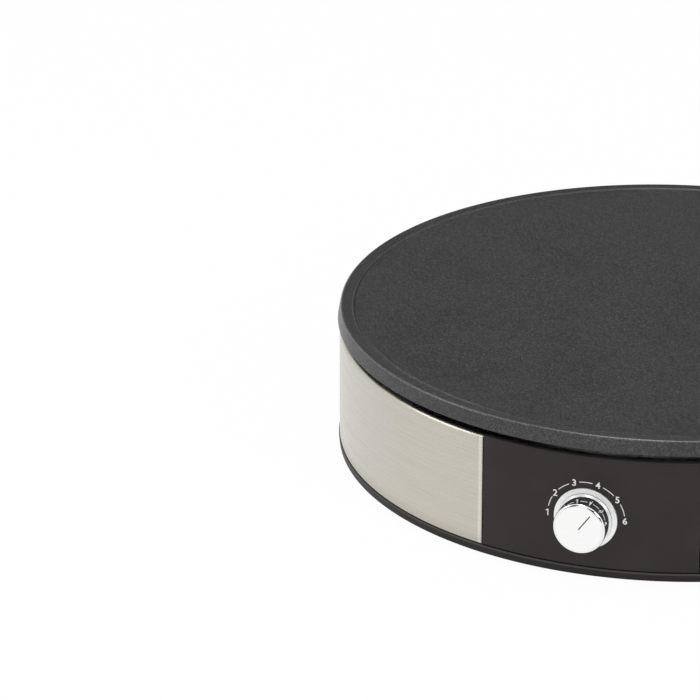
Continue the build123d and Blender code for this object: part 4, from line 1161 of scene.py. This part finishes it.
def makeWorld(v):
    world = bpy.data.worlds.new("studioWorld")
    bpy.context.scene.world = world
    world.use_nodes = True
    tree = world.node_tree
    tree.nodes.clear()
    start = Value(tree)
    seen = seenRay(start)
    plain = start.node("Background", {}, {"Color": rgba((1, 1, 1)), "Strength": v["level"]})
    white = start.node("Background", {}, {"Color": rgba((1, 1, 1)), "Strength": 1.0})
    both = start.node("MixShader", {}, {0: seen, 1: plain, 2: white})
    start.node("OutputWorld", {}, {"Surface": both})


# Rays that see the studio as plain white: from the camera, off shiny faces, through clear ones.
def seenRay(start):
    camera = start.node("LightPath", output="Is Camera Ray")
    glossy = start.node("LightPath", output="Is Glossy Ray")
    through = start.node("LightPath", output="Is Transmission Ray")
    return camera.larger(glossy).larger(through)


# The floor is a flat ring: radius grows from just inside the tray's edge to far off, angle goes all
# the way round. Seen from below it is clear.
def makeFloor(v):
    radius = np.geomspace(v["inner"], v["outer"], v["rings"])[:, None]
    angle = np.linspace(0, 2 * np.pi, v["spokes"], endpoint=False)[None, :]
    points = onDrum(angle, 0.0, radius).reshape(-1, 3)
    mesh = bpy.data.meshes.new("studioFloor")
    mesh.from_pydata(points.tolist(), [], gridFaces(v["rings"], v["spokes"], False, True).tolist())
    floor = addObject("studioFloor", mesh)
    material, start = emptyMaterial("paleFloor")
    outside = start.node("TexCoord", output="Object").length().ramp(*v["underObject"])
    lit = start.node("BsdfDiffuse", {}, {"Color": rgba(v["paper"])})
    white = start.node("Emission", {}, {"Color": rgba((1, 1, 1)), "Strength": 1.0})
    whitened = seenRay(start) * outside * v["whiteness"]
    seen = start.node("MixShader", {}, {0: whitened, 1: lit, 2: white})
    clear = start.node("BsdfTransparent")
    below = start.node("NewGeometry", output="Backfacing")
    sided = start.node("MixShader", {}, {0: below, 1: seen, 2: clear})
    start.node("OutputMaterial", {}, {"Surface": sided})
    mesh.materials.append(material)


# A card is a patch of a large sphere round the object: azimuth and elevation grow evenly.
def makeCard(name, v, shape):
    steps = shape["steps"]
    azimuth, elevation = np.meshgrid(
        np.radians(np.linspace(*v["azimuth"], steps)),
        np.radians(np.linspace(*v["elevation"], steps)), indexing="ij",
    )
    points = shape["reach"] * np.stack([
        np.cos(elevation) * np.cos(azimuth), np.cos(elevation) * np.sin(azimuth), np.sin(elevation)
    ], axis=-1)
    mesh = bpy.data.meshes.new(name)
    mesh.from_pydata(points.reshape(-1, 3).tolist(), [], gridFaces(steps, steps).tolist())
    card = addObject(name, mesh)
    for kind in ("camera", "diffuse", "shadow", "transmission"):
        setattr(card, "visible_" + kind, False)
    material, start = emptyMaterial(name)
    black = start.node("BsdfDiffuse", {}, {"Color": rgba(shape["colour"])})
    start.node("OutputMaterial", {}, {"Surface": black})
    mesh.materials.append(material)


makeCamera(cameraValues)
for cardName, cardSet in cardValues.items():
    makeCard(cardName, cardSet, cardShape)
for lampName, lampSet in lampValues.items():
    makeLamp(lampName, lampSet)
makeWorld(studioValues)
makeFloor(studioValues)
bpy.context.scene.view_settings.view_transform = "Standard"
print("studio set")
